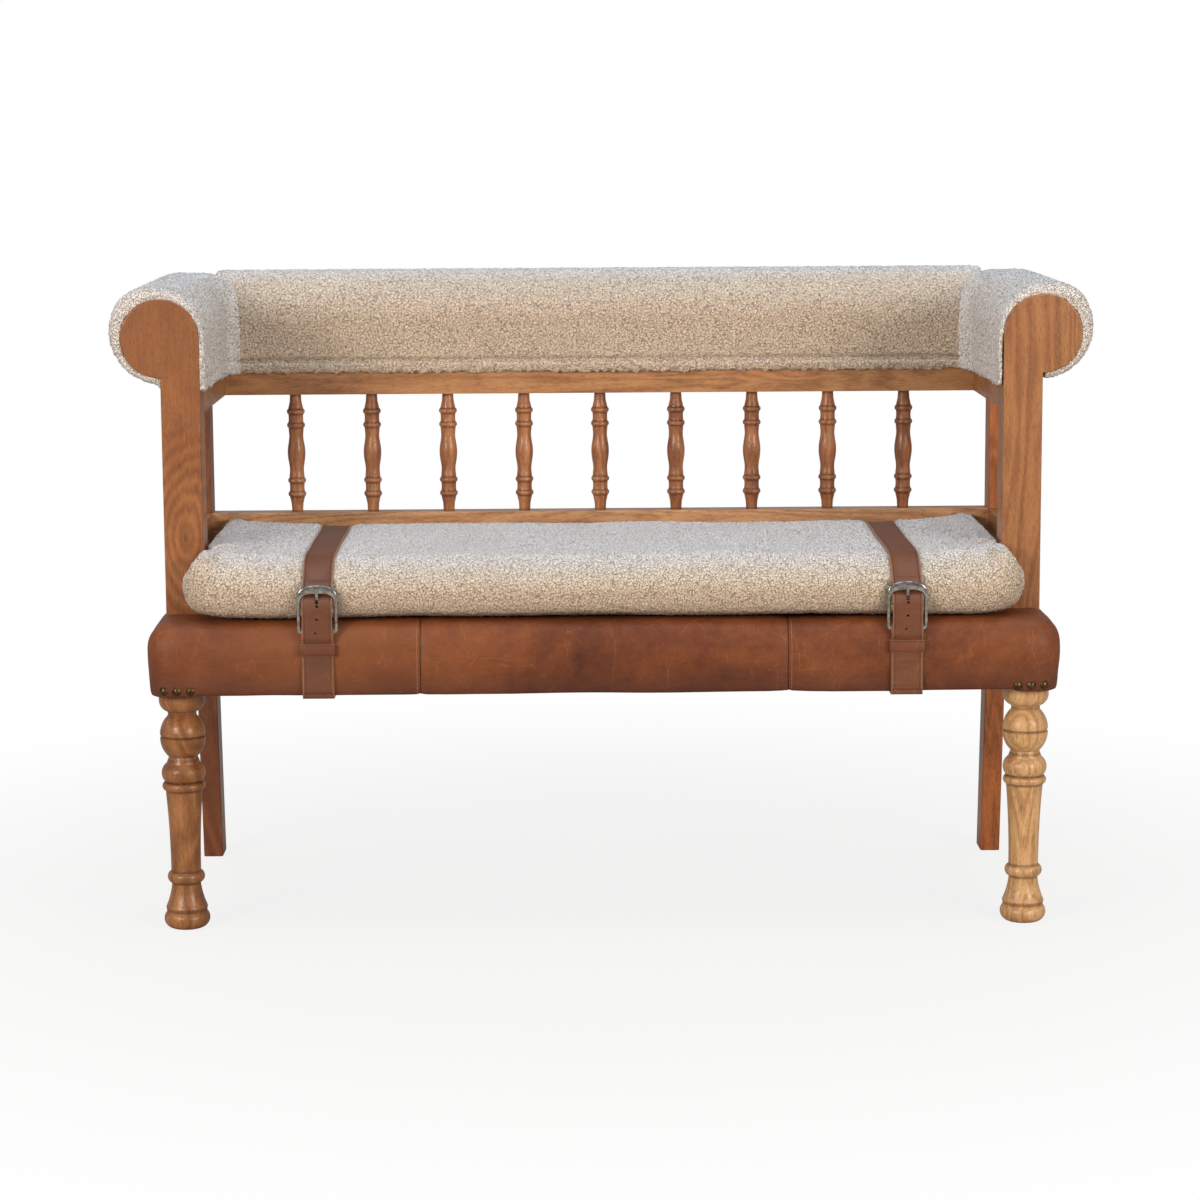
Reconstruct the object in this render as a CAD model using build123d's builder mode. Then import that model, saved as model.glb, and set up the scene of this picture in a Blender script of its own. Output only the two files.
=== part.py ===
from build123d import *
import os
from math import asin, cos, sin

# Hall bench, in millimetres. X runs along the bench, Y from its front to its back, Z up from the floor.
# The origin is on the floor, under the middle of the bench.

# Gaps: glued wood joints, leather and cloth beside their neighbours, turning metal
fit_gap = 0.1
soft_gap = 0.3
turning_gap = 0.05

# Seat box: leather over padding over a wooden frame
seat_width = 1104.0
leg_height = 295.0
seat_thickness = 88.0
seat_corner_radius = 30.0
seat_edge_radius = 26.0
leather_thickness = 2.0
leather_turn_under = 40.0
panel_seam_inset = 330.0
side_padding = 12.0
top_padding = 22.0
deck_thickness = 12.0
rail_thickness = 30.0
corner_block_size = 68.0
dust_cloth_thickness = 0.8
dust_cloth_inset = 48.0

# Turned front legs, heights counted up from the floor and down from the seat
leg_inset_x = 36.0
leg_inset_y = 45.0
leg_tenon_radius = 15.0
leg_tenon_length = 40.0
foot_contact_radius = 20.0
foot_radius = 28.0
foot_height = 20.0
foot_groove_radius = 24.4
flare_radius = 25.5
flare_start = 26.0
flare_height = 30.0
ankle_radius = 17.5
ankle_ring_radius = 22.8
ankle_ring_height = 15.0
shaft_low_radius = 18.2
shaft_middle_radius = 19.2
shaft_top_radius = 22.5
collar_radius = 26.4
collar_height = 11.0
lower_ball_radius = 26.8
lower_ball_height = 23.0
lower_ball_top_radius = 20.5
ball_neck_height = 8.0
ball_radius = 27.7
ball_height = 51.0
ball_groove_depth = 1.6
ball_groove_width = 4.0
neck_radius = 17.6
neck_height = 5.0
cap_radius = 28.0
cap_round_height = 14.0
cap_height = 11.0

# Rear posts: upright above the seat, raked backwards below it
rear_post_width = 26.0
rear_post_depth = 43.0
rear_rake = 41.0
rear_foot_depth = 40.0

# Scroll posts of the arms, standing on the side rails
post_setback = 88.0
post_width = 48.0
post_depth = 45.0
post_edge_radius = 2.0
post_lap_clearance = 3.0
scroll_rise = 53.0
arm_gap = 245.0

# Rails of the arms and the back
lower_rail_rise = 89.0
lower_rail_height = 42.0
back_lower_rail_depth = 30.0
spindle_span = 156.0
upper_rail_height = 40.0
rail_edge_radius = 1.5
rear_seat_rail_inset = 5.0

# Tenons
tenon_thickness = 10.0
tenon_shoulder = 10.0
long_tenon = 18.0
short_tenon = 7.0

# Turned spindles, heights counted from their middle
back_spindle_count = 9
back_spindle_end_gap = 112.0
arm_spindle_count = 2
arm_spindle_end_gap = 77.5
spindle_pin_radius = 6.0
spindle_pin_length = 10.0
belly_radius = 11.6
waist_radius = 9.2
waist_height = 24.0
ring_radius = 11.8
ring_height = 7.0
ring_foot_radius = 9.9
inner_ring_rise = 36.5
outer_ring_rise = 54.5
reel_radius = 9.5
spindle_cone_height = 13.0
spindle_neck_radius = 7.8
spindle_end_radius = 7.2

# Padded rolls: a wooden core, a layer of padding and a looped-pile cover
arm_padding_thickness = 6.0
arm_roll_shift = 4.0
arm_roll_rise = 2.0
arm_roll_overrun = 52.0
arm_cover_setback = 1.5
back_padding_thickness = 9.0
back_roll_shift = 4.0
back_roll_rise = 6.0
back_roll_lap = 24.0
roll_cover_thickness = 5.0
roll_end_padding = 8.0
roll_hem_drop = 12.0

# Seat cushion: heights above the seat, drops below its crown, and how far its outline is drawn in there
cushion_thickness = 77.0
cushion_setback = 8.0
cushion_back_gap = 6.0
cushion_post_gap = 6.0
cushion_ear = 21.0
cushion_ear_gap = 3.0
cushion_corner_radius = 50.0
cushion_back_radius = 32.0
cushion_ear_radius = 11.0
cushion_low_height = 22.0
cushion_low_inset = 14.0
cushion_waist_drop = 27.0
cushion_waist_inset = 1.5
cushion_shoulder_drop = 10.0
cushion_shoulder_inset = 15.0
cushion_crown_inset = 46.0
cushion_cover_thickness = 4.0

# Belts, with their buckles at the front
left_belt_inset = 207.0
right_belt_inset = 187.0
strap_width = 36.0
strap_thickness = 2.8
strap_tip_rise = 5.0
strap_under_length = 34.0
strap_bend_radius = 9.0
strap_bar_drop = 4.5
strap_cushion_room = 2.0
strap_hole_radius = 1.7
strap_hole_pitch = 16.0
strap_hole_count = 3
tab_width = 37.0
tab_thickness = 2.5
tab_under_length = 34.0
tab_turn_length = 5.5
buckle_width = 49.0
buckle_window_width = 38.0
buckle_height = 59.0
buckle_thickness = 4.4
buckle_corner_radius = 9.0
buckle_edge_radius = 1.0
top_bar_height = 10.5
heel_bar_radius = 2.2
heel_drop = 9.0
heel_standoff = 3.0
prong_width = 3.2
prong_thickness = 2.8
prong_ring_thickness = 1.7
prong_tip_inset = 4.0
prong_rise = 13.0
prong_slot_width = 4.8
prong_slot_length = 15.0
prong_slot_side = 3.4
keeper_drop = 14.5
keeper_height = 14.5
keeper_wall = 1.5
keeper_side_wall = 2.0
keeper_side_gap = 1.0

# Dome nails at the front corners, bolts and screws
nail_radius = 5.4
nail_dome_height = 2.6
nail_shank_radius = 1.0
nail_shank_length = 24.0
nail_height = 7.0
nail_pitch = 16.5
nail_count = 3
post_bolt_radius = 4.0
post_bolt_head_radius = 7.0
post_bolt_head_height = 5.0
post_bolt_end_cover = 6.0
post_bolt_pitch = 24.0
belt_screw_radius = 2.0
belt_screw_head_radius = 5.0
belt_screw_head_height = 1.8
belt_screw_length = 24.0

# Outer sizes of the rolls, round the disc that heads a scroll post
arm_padding_radius = post_width + arm_padding_thickness
arm_roll_radius = arm_padding_radius + roll_cover_thickness
back_padding_radius = post_width + back_padding_thickness
back_roll_radius = back_padding_radius + roll_cover_thickness

# Places along Y, counted back from the leather front
heel_reach = heel_standoff + heel_bar_radius + turning_gap
front_reach = heel_reach + tab_thickness + soft_gap + strap_thickness
leather_to_post_back = post_setback + post_depth + arm_gap + rear_post_depth
overall_depth = front_reach + leather_to_post_back + back_roll_shift + back_roll_radius
seat_front = front_reach - overall_depth / 2
post_front = seat_front + post_setback
post_back = post_front + post_depth
rear_post_front = post_back + arm_gap
rear_post_back = rear_post_front + rear_post_depth
rear_seat_rail_front = rear_post_front + rear_seat_rail_inset
rear_seat_rail_back = rear_seat_rail_front + rail_thickness
seat_back = rear_seat_rail_back + leather_thickness
frame_front = seat_front + leather_thickness + side_padding
block_back = frame_front + corner_block_size
upper_rail_front = rear_post_back - post_width
leg_y = seat_front + leg_inset_y
heel_y = seat_front - heel_standoff

# Places along X, on the right side
seat_half = seat_width / 2
frame_half = seat_half - leather_thickness - side_padding
post_inner = frame_half - post_width
rear_post_inner = frame_half - rear_post_width
block_inner = frame_half - corner_block_size
side_rail_inner = frame_half - rail_thickness
leg_x = seat_half - leg_inset_x
arm_spindle_x = frame_half - rear_post_width / 2
arm_inner = frame_half + arm_roll_shift - arm_roll_radius
panel_seam_x = seat_half - panel_seam_inset
left_belt_x = left_belt_inset - seat_half
right_belt_x = seat_half - right_belt_inset

# Places along Z, each stacked on what carries it
seat_height = leg_height + seat_thickness
rail_bottom = leg_height + leather_thickness
deck_top = seat_height - leather_thickness - top_padding
rail_top = deck_top - deck_thickness
rail_middle = (rail_bottom + rail_top) / 2
lower_rail_top = seat_height + lower_rail_rise
lower_rail_bottom = lower_rail_top - lower_rail_height
lower_rail_middle = lower_rail_top - lower_rail_height / 2
upper_rail_bottom = lower_rail_top + spindle_span
upper_rail_top = upper_rail_bottom + upper_rail_height
upper_rail_middle = upper_rail_bottom + upper_rail_height / 2
scroll_height = upper_rail_top + scroll_rise
spindle_middle = (lower_rail_top + upper_rail_bottom) / 2
cushion_bottom = seat_height + soft_gap
cushion_top = cushion_bottom + cushion_thickness
heel_height = seat_height - heel_drop
keeper_top = heel_height - keeper_drop
strap_tip_height = leg_height + strap_tip_rise
buckle_bottom = heel_height - heel_bar_radius
buckle_top = buckle_bottom + buckle_height
top_bar_bottom = buckle_top - top_bar_height

sides = {"left": -1, "right": 1}
belts = {"left": left_belt_x, "right": right_belt_x}

os.makedirs("parts", exist_ok=True)


def write(piece, name):
    piece.part.label = name
    export_step(piece.part, f"parts/{name}.step")


def block(corner, opposite, mode=Mode.ADD):
    """A box between two opposite corners, in any order."""
    middle = [(a + b) / 2 for a, b in zip(corner, opposite)]
    size = [abs(a - b) for a, b in zip(corner, opposite)]
    with Locations(tuple(middle)):
        Box(*size, mode=mode)


def rod(start, end, radius, mode=Mode.ADD):
    """A round rod from one point to another."""
    direction = Vector(end) - Vector(start)
    with Locations(Plane(origin=start, z_dir=direction)):
        Cylinder(radius, direction.length, align=(Align.CENTER, Align.CENTER, Align.MIN), mode=mode)


def tenon(face, reach, section):
    """Corners of a tenon: the middle of its shoulder face, its reach along one axis, its section."""
    low = [f - s / 2 + min(r, 0) for f, s, r in zip(face, section, reach)]
    high = [f + s / 2 + max(r, 0) for f, s, r in zip(face, section, reach)]
    return low, high


def mortise(low, high):
    """The hole for a tenon, larger than it by the glue gap all round."""
    block([c - fit_gap for c in low], [c + fit_gap for c in high], mode=Mode.SUBTRACT)


# Tenons, each used by the rail that carries it and by the piece that takes it

def rail_tenon(face, reach, height):
    """A tenon on a lying rail, with shoulders above and below it."""
    section = [tenon_thickness if r == 0 else 0 for r in reach]
    section[2] = height - 2 * tenon_shoulder
    return tenon(face, reach, section)


seat_rail_height = rail_top - rail_bottom
side_rail_x = frame_half - rail_thickness / 2
front_rail_y = frame_front + rail_thickness / 2
rear_rail_y = rear_seat_rail_front + rail_thickness / 2
back_lower_rail_y = rear_post_front + back_lower_rail_depth / 2
upper_rail_x = frame_half - post_width / 2


def front_rail_tenon(side):
    face = (side * block_inner, front_rail_y, rail_middle)
    return rail_tenon(face, (side * long_tenon, 0, 0), seat_rail_height)


def side_rail_front_tenon(side):
    return rail_tenon((side * side_rail_x, block_back, rail_middle), (0, -short_tenon, 0), seat_rail_height)


def side_rail_back_tenon(side):
    face = (side * arm_spindle_x, rear_post_front, rail_middle)
    return rail_tenon(face, (0, long_tenon, 0), seat_rail_height)


def rear_rail_tenon(side):
    face = (side * rear_post_inner, rear_rail_y, rail_middle)
    return rail_tenon(face, (side * short_tenon, 0, 0), seat_rail_height)


def arm_lower_front_tenon(side):
    face = (side * arm_spindle_x, post_back, lower_rail_middle)
    return rail_tenon(face, (0, -long_tenon, 0), lower_rail_height)


def arm_lower_back_tenon(side):
    face = (side * arm_spindle_x, rear_post_front, lower_rail_middle)
    return rail_tenon(face, (0, long_tenon, 0), lower_rail_height)


def back_lower_tenon(side):
    face = (side * rear_post_inner, back_lower_rail_y, lower_rail_middle)
    return rail_tenon(face, (side * short_tenon, 0, 0), lower_rail_height)


def arm_upper_front_tenon(side):
    face = (side * upper_rail_x, post_back, upper_rail_middle)
    return rail_tenon(face, (0, -long_tenon, 0), upper_rail_height)


def arm_upper_back_tenon(side):
    face = (side * upper_rail_x, upper_rail_front, upper_rail_middle)
    return rail_tenon(face, (0, long_tenon, 0), upper_rail_height)


def rear_post_tenon(side):
    face = (side * arm_spindle_x, rear_post_back - rear_post_depth / 2, upper_rail_bottom)
    return tenon(face, (0, 0, long_tenon), (tenon_thickness, tenon_thickness, 0))


# Spindle places

def spread(count, first, last):
    """Evenly spaced places from a first to a last."""
    return [first + (last - first) * index / (count - 1) for index in range(count)]


outer_spindle_x = rear_post_inner - back_spindle_end_gap
back_spindle_xs = spread(back_spindle_count, -outer_spindle_x, outer_spindle_x)
first_arm_spindle_y = post_back + arm_spindle_end_gap
last_arm_spindle_y = rear_post_front - arm_spindle_end_gap
arm_spindle_ys = spread(arm_spindle_count, first_arm_spindle_y, last_arm_spindle_y)


def spindle_hole(x, y, mouth, direction):
    """A blind hole for a spindle pin, from the rail face at height mouth."""
    depth = spindle_pin_length + fit_gap
    rod((x, y, mouth), (x, y, mouth + direction * depth), spindle_pin_radius + fit_gap, mode=Mode.SUBTRACT)


# Fasteners and their holes

flat_end = seat_half - seat_corner_radius


def nail_plane(side, index):
    """A plane whose y points out of the leather at a dome nail, along the front and round the corner."""
    along = nail_pitch * (index - nail_count + 2) - nail_pitch / nail_count
    turn = max(along, 0) / seat_corner_radius
    x = flat_end + min(along, 0) + seat_corner_radius * sin(turn)
    y = seat_front + seat_corner_radius * (1 - cos(turn))
    origin = (side * x, y, leg_height + nail_height)
    return Plane(origin=origin, x_dir=(0, 0, 1), z_dir=(cos(turn), side * sin(turn), 0))


def nail_holes():
    for side in sides.values():
        for index in range(nail_count):
            plane = nail_plane(side, index)
            tip = plane.from_local_coords((0, -nail_shank_length - fit_gap, 0))
            rod(plane.origin, tip, nail_shank_radius + fit_gap, mode=Mode.SUBTRACT)


def post_bolt_places(side):
    """Axis points of the bolts that hold a scroll post to its side rail: head face and end."""
    y = post_front + post_depth / 2
    for z in (rail_middle - post_bolt_pitch / 2, rail_middle + post_bolt_pitch / 2):
        yield (side * post_inner, y, z), (side * (frame_half - post_bolt_end_cover), y, z)


def post_bolt_holes(side):
    for head, end in post_bolt_places(side):
        far = (end[0] + side * fit_gap, end[1], end[2])
        rod(head, far, post_bolt_radius + fit_gap, mode=Mode.SUBTRACT)


strap_under_z = leg_height - soft_gap - strap_thickness / 2
tab_under_z = leg_height - soft_gap - tab_thickness / 2


def belt_screw_places(x):
    """Head seats of the screws that hold the tab and the strap of a belt under the seat."""
    tab_seat = (x, front_rail_y, tab_under_z - tab_thickness / 2)
    strap_seat = (x, rear_rail_y, strap_under_z - strap_thickness / 2)
    return tab_seat, strap_seat


def belt_screw_holes():
    for x in belts.values():
        for seat in belt_screw_places(x):
            tip = (seat[0], seat[1], seat[2] + belt_screw_length + fit_gap)
            rod(seat, tip, belt_screw_radius + fit_gap, mode=Mode.SUBTRACT)


def post_notches():
    """Room in the seat for the scroll posts and, at the back corners, the rear posts."""
    top = seat_height + top_padding
    for side in sides.values():
        corner = (side * (post_inner - soft_gap), post_front - soft_gap, leg_height)
        opposite = (side * (frame_half + soft_gap), post_back + soft_gap, top)
        block(corner, opposite, mode=Mode.SUBTRACT)
        corner = (side * (rear_post_inner - soft_gap), rear_post_front - soft_gap, 0)
        block(corner, (side * seat_width, seat_back + rail_thickness, top), mode=Mode.SUBTRACT)


# Front legs: turned, with a round tenon in the corner block

def front_leg(side):
    upright = Plane(origin=(side * leg_x, leg_y, 0), x_dir=(1, 0, 0), z_dir=(0, -1, 0))
    flare_top = flare_start + flare_height
    shaft_low = flare_top + ankle_ring_height
    cap_low = leg_height - cap_height
    cap_round_low = cap_low - cap_round_height
    ball_top = cap_round_low - neck_height
    ball_low = ball_top - ball_height
    ball_middle = (ball_top + ball_low) / 2
    lower_ball_top = ball_low - ball_neck_height
    lower_ball_low = lower_ball_top - lower_ball_height
    shaft_top = lower_ball_low - collar_height
    groove_low = ball_middle - ball_groove_width / 2
    groove_top = ball_middle + ball_groove_width / 2
    with BuildPart() as leg:
        with BuildSketch(upright):
            with BuildLine():
                Line((0, 0), (foot_contact_radius, 0))
                ThreePointArc(
                    (foot_contact_radius, 0),
                    (foot_radius, foot_height / 2),
                    (foot_groove_radius, foot_height),
                )
                Line((foot_groove_radius, foot_height), (flare_radius, flare_start))
                ThreePointArc(
                    (flare_radius, flare_start),
                    ((flare_radius + 2 * ankle_radius) / 3, (flare_start + flare_top) / 2),
                    (ankle_radius, flare_top),
                )
                ThreePointArc(
                    (ankle_radius, flare_top),
                    (ankle_ring_radius, (flare_top + shaft_low) / 2),
                    (shaft_low_radius, shaft_low),
                )
                ThreePointArc(
                    (shaft_low_radius, shaft_low),
                    (shaft_middle_radius, (shaft_low + shaft_top) / 2),
                    (shaft_top_radius, shaft_top),
                )
                ThreePointArc(
                    (shaft_top_radius, shaft_top),
                    (collar_radius, (shaft_top + lower_ball_low) / 2),
                    (shaft_top_radius, lower_ball_low),
                )
                ThreePointArc(
                    (shaft_top_radius, lower_ball_low),
                    (lower_ball_radius, (lower_ball_low + lower_ball_top) / 2),
                    (lower_ball_top_radius, lower_ball_top),
                )
                Line((lower_ball_top_radius, lower_ball_top), (neck_radius, ball_low))
                TangentArc((ball_radius, groove_low), (neck_radius, ball_low), tangent=(0, -1))
                Polyline(
                    (ball_radius, groove_low),
                    (ball_radius - ball_groove_depth, ball_middle),
                    (ball_radius, groove_top),
                )
                TangentArc((ball_radius, groove_top), (neck_radius, ball_top), tangent=(0, 1))
                Line((neck_radius, ball_top), (neck_radius, cap_round_low))
                TangentArc((cap_radius, cap_low), (neck_radius, cap_round_low), tangent=(0, -1))
                Line((cap_radius, cap_low), (cap_radius, leg_height))
                Line((cap_radius, leg_height), (leg_tenon_radius, leg_height))
                Line((leg_tenon_radius, leg_height), (leg_tenon_radius, leg_height + leg_tenon_length))
                Line((leg_tenon_radius, leg_height + leg_tenon_length), (0, leg_height + leg_tenon_length))
                Line((0, leg_height + leg_tenon_length), (0, 0))
            make_face()
        revolve(axis=Axis((side * leg_x, leg_y, 0), (0, 0, 1)))
    return leg


for name, side in sides.items():
    write(front_leg(side), f"front_leg_{name}")


# Seat frame

def leg_sockets():
    for side in sides.values():
        bottom = (side * leg_x, leg_y, leg_height)
        top = (side * leg_x, leg_y, leg_height + leg_tenon_length + fit_gap)
        rod(bottom, top, leg_tenon_radius + fit_gap, mode=Mode.SUBTRACT)


for name, side in sides.items():
    with BuildPart() as corner_block:
        block((side * block_inner, frame_front, rail_bottom), (side * frame_half, block_back, rail_top))
        leg_sockets()
        mortise(*front_rail_tenon(side))
        mortise(*side_rail_front_tenon(side))
        nail_holes()
    write(corner_block, f"corner_block_{name}")

with BuildPart() as front_seat_rail:
    block((-block_inner, frame_front, rail_bottom), (block_inner, frame_front + rail_thickness, rail_top))
    block(*front_rail_tenon(-1))
    block(*front_rail_tenon(1))
    belt_screw_holes()
write(front_seat_rail, "front_seat_rail")

with BuildPart() as rear_seat_rail:
    block(
        (-rear_post_inner, rear_seat_rail_front, rail_bottom),
        (rear_post_inner, rear_seat_rail_back, rail_top),
    )
    block(*rear_rail_tenon(-1))
    block(*rear_rail_tenon(1))
    belt_screw_holes()
write(rear_seat_rail, "rear_seat_rail")

for name, side in sides.items():
    with BuildPart() as side_seat_rail:
        block(
            (side * side_rail_inner, block_back, rail_bottom),
            (side * frame_half, rear_post_front, rail_top),
        )
        block(*side_rail_front_tenon(side))
        block(*side_rail_back_tenon(side))
        post_bolt_holes(side)
    write(side_seat_rail, f"side_seat_rail_{name}")

with BuildPart() as seat_deck:
    block((-frame_half, frame_front, rail_top), (frame_half, rear_seat_rail_back, deck_top))
    post_notches()
write(seat_deck, "seat_deck")


# Rear posts

for name, side in sides.items():
    with BuildPart() as rear_post:
        with BuildSketch(Plane.YZ.offset(side * frame_half)):
            with BuildLine():
                Polyline(
                    (rear_post_front, upper_rail_bottom),
                    (rear_post_front, leg_height),
                    (rear_post_front + rear_rake, 0),
                    (rear_post_front + rear_rake + rear_foot_depth, 0),
                    (rear_post_back, leg_height),
                    (rear_post_back, upper_rail_bottom),
                    close=True,
                )
            make_face()
        extrude(amount=-side * rear_post_width)
        fillet(rear_post.edges().filter_by(Axis.X, reverse=True), post_edge_radius)
        block(*rear_post_tenon(side))
        mortise(*side_rail_back_tenon(side))
        mortise(*rear_rail_tenon(side))
        mortise(*arm_lower_back_tenon(side))
        mortise(*back_lower_tenon(side))
    write(rear_post, f"rear_post_{name}")


# Scroll posts: a flat board whose head is a round disc, lapped on the inside of the side rail

for name, side in sides.items():
    with BuildPart() as scroll_post:
        with BuildSketch(Plane.XZ.offset(-post_front)):
            with Locations((side * upper_rail_x, (rail_top + scroll_height) / 2)):
                Rectangle(post_width, scroll_height - rail_top)
            with Locations((side * frame_half, scroll_height)):
                Circle(post_width)
        extrude(amount=-post_depth)
        front_rim = scroll_post.faces().sort_by(Axis.Y)[0].edges()
        fillet(front_rim, post_edge_radius)
        lap_bottom = rail_bottom + post_lap_clearance
        lap_top = rail_top + post_width
        block((side * post_inner, post_front, lap_bottom), (side * side_rail_inner, post_back, lap_top))
        post_bolt_holes(side)
        mortise(*arm_lower_front_tenon(side))
        mortise(*arm_upper_front_tenon(side))
    write(scroll_post, f"scroll_post_{name}")


# Rails of the arms and the back

for name, side in sides.items():
    with BuildPart() as arm_lower_rail:
        block(
            (side * rear_post_inner, post_back, lower_rail_bottom),
            (side * frame_half, rear_post_front, lower_rail_top),
        )
        fillet(arm_lower_rail.edges().filter_by(Axis.Y), rail_edge_radius)
        block(*arm_lower_front_tenon(side))
        block(*arm_lower_back_tenon(side))
        for y in arm_spindle_ys:
            spindle_hole(side * arm_spindle_x, y, lower_rail_top, -1)
    write(arm_lower_rail, f"arm_lower_rail_{name}")

    with BuildPart() as arm_upper_rail:
        block(
            (side * post_inner, post_back, upper_rail_bottom),
            (side * frame_half, upper_rail_front, upper_rail_top),
        )
        block(*arm_upper_front_tenon(side))
        block(*arm_upper_back_tenon(side))
        for y in arm_spindle_ys:
            spindle_hole(side * arm_spindle_x, y, upper_rail_bottom, 1)
    write(arm_upper_rail, f"arm_upper_rail_{name}")

with BuildPart() as back_lower_rail:
    block(
        (-rear_post_inner, rear_post_front, lower_rail_bottom),
        (rear_post_inner, rear_post_front + back_lower_rail_depth, lower_rail_top),
    )
    fillet(back_lower_rail.edges().filter_by(Axis.X), rail_edge_radius)
    block(*back_lower_tenon(-1))
    block(*back_lower_tenon(1))
    for x in back_spindle_xs:
        spindle_hole(x, back_lower_rail_y, lower_rail_top, -1)
write(back_lower_rail, "back_lower_rail")

with BuildPart() as back_upper_rail:
    block((-frame_half, upper_rail_front, upper_rail_bottom), (frame_half, rear_post_back, upper_rail_top))
    for side in sides.values():
        mortise(*arm_upper_back_tenon(side))
        mortise(*rear_post_tenon(side))
    for x in back_spindle_xs:
        spindle_hole(x, back_lower_rail_y, upper_rail_bottom, 1)
write(back_upper_rail, "back_upper_rail")


# Spindles: the upper half is turned, then mirrored about the middle

def spindle(x, y):
    upright = Plane(origin=(x, y, spindle_middle), x_dir=(1, 0, 0), z_dir=(0, -1, 0))
    half_span = spindle_span / 2
    half_ring = ring_height / 2
    inner_low = (ring_foot_radius, inner_ring_rise - half_ring)
    inner_top = (ring_foot_radius, inner_ring_rise + half_ring)
    reel_middle = (reel_radius, (inner_ring_rise + outer_ring_rise) / 2)
    outer_low = (ring_foot_radius, outer_ring_rise - half_ring)
    outer_top = (ring_foot_radius, outer_ring_rise + half_ring)
    cone_top = (spindle_neck_radius, outer_ring_rise + spindle_cone_height)
    with BuildPart() as turned:
        with BuildSketch(upright):
            with BuildLine():
                Line((0, 0), (belly_radius, 0))
                Spline((belly_radius, 0), (waist_radius, waist_height), inner_low, tangents=((0, 1), (0, 1)))
                ThreePointArc(inner_low, (ring_radius, inner_ring_rise), inner_top)
                ThreePointArc(inner_top, reel_middle, outer_low)
                ThreePointArc(outer_low, (ring_radius, outer_ring_rise), outer_top)
                Polyline(
                    outer_top,
                    cone_top,
                    (spindle_end_radius, half_span),
                    (spindle_pin_radius, half_span),
                    (spindle_pin_radius, half_span + spindle_pin_length),
                    (0, half_span + spindle_pin_length),
                    (0, 0),
                )
            make_face()
        revolve(axis=Axis((x, y, 0), (0, 0, 1)))
        mirror(about=Plane.XY.offset(spindle_middle))
    return turned


for number, x in enumerate(back_spindle_xs, start=1):
    write(spindle(x, back_lower_rail_y), f"back_spindle_{number}")

for name, side in sides.items():
    for number, y in enumerate(arm_spindle_ys, start=1):
        write(spindle(side * arm_spindle_x, y), f"arm_spindle_{name}_{number}")


# Padded rolls. A section is drawn on a plane whose x points away from the seat, from the post's outer edge.

def core_section():
    with Locations((-post_width / 2, (upper_rail_top + scroll_height) / 2)):
        Rectangle(post_width, scroll_height - upper_rail_top)
    with Locations((0, scroll_height)):
        Circle(post_width)


def roll_section(radius, shift, rise, bottom):
    """A round roll with a straight inner side that reaches down to bottom."""
    centre = scroll_height + rise
    with Locations((shift, centre)):
        Circle(radius)
    width = radius - shift
    with Locations((-width / 2, (centre + bottom) / 2)):
        Rectangle(width, centre - bottom)


def rail_section():
    """The rail or post under the roll, to be left free."""
    with Locations((-post_width / 2, upper_rail_top / 2)):
        Rectangle(post_width, upper_rail_top, mode=Mode.SUBTRACT)


def arm_plane(side, y):
    return Plane(origin=(side * frame_half, y, 0), x_dir=(side, 0, 0), z_dir=(0, -side, 0))


def back_plane(x):
    return Plane(origin=(x, rear_post_back, 0), x_dir=(0, 1, 0), z_dir=(1, 0, 0))


arm_shape = dict(shift=arm_roll_shift, rise=arm_roll_rise)
back_shape = dict(shift=back_roll_shift, rise=back_roll_rise)
hem_bottom = upper_rail_top - roll_hem_drop
arm_cover_front = post_front + arm_cover_setback
arm_cover_back = rear_post_back + arm_roll_overrun
arm_padding_back = arm_cover_back - roll_cover_thickness
arm_core_back = arm_padding_back - roll_end_padding
back_roll_half = arm_inner + back_roll_lap
back_core_half = arm_inner - soft_gap

for name, side in sides.items():
    with BuildPart() as arm_core:
        with BuildSketch(arm_plane(side, post_back)):
            core_section()
        extrude(amount=-side * (arm_core_back - post_back))
    write(arm_core, f"arm_roll_core_{name}")

    with BuildPart() as arm_padding:
        with BuildSketch(arm_plane(side, arm_cover_front)):
            roll_section(arm_padding_radius, bottom=upper_rail_top, **arm_shape)
            rail_section()
        extrude(amount=-side * (arm_padding_back - arm_cover_front))
        with BuildSketch(arm_plane(side, arm_cover_front)):
            core_section()
        extrude(amount=-side * (arm_core_back - arm_cover_front), mode=Mode.SUBTRACT)
    write(arm_padding, f"arm_roll_padding_{name}")

    with BuildPart() as arm_cover:
        with BuildSketch(arm_plane(side, arm_cover_front)):
            roll_section(arm_roll_radius, bottom=hem_bottom, **arm_shape)
            rail_section()
        extrude(amount=-side * (arm_cover_back - arm_cover_front))
        with BuildSketch(arm_plane(side, arm_cover_front)):
            roll_section(arm_padding_radius, bottom=upper_rail_top, **arm_shape)
            rail_section()
        extrude(amount=-side * (arm_padding_back - arm_cover_front), mode=Mode.SUBTRACT)
        block(
            (0, upper_rail_front, hem_bottom),
            (side * frame_half, arm_cover_back, upper_rail_top),
            Mode.SUBTRACT,
        )
    write(arm_cover, f"arm_roll_cover_{name}")


def arm_room(side):
    """The space of an arm roll, which the ends of the back roll keep clear of."""
    with BuildPart() as room:
        with BuildSketch(arm_plane(side, post_front)):
            roll_section(arm_roll_radius + soft_gap, bottom=0, **arm_shape)
        extrude(amount=-side * overall_depth)
    return room.part


arm_rooms = [arm_room(side) for side in sides.values()]

with BuildPart() as back_core:
    with BuildSketch(back_plane(-back_core_half)):
        core_section()
    extrude(amount=2 * back_core_half)
write(back_core, "back_roll_core")

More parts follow.
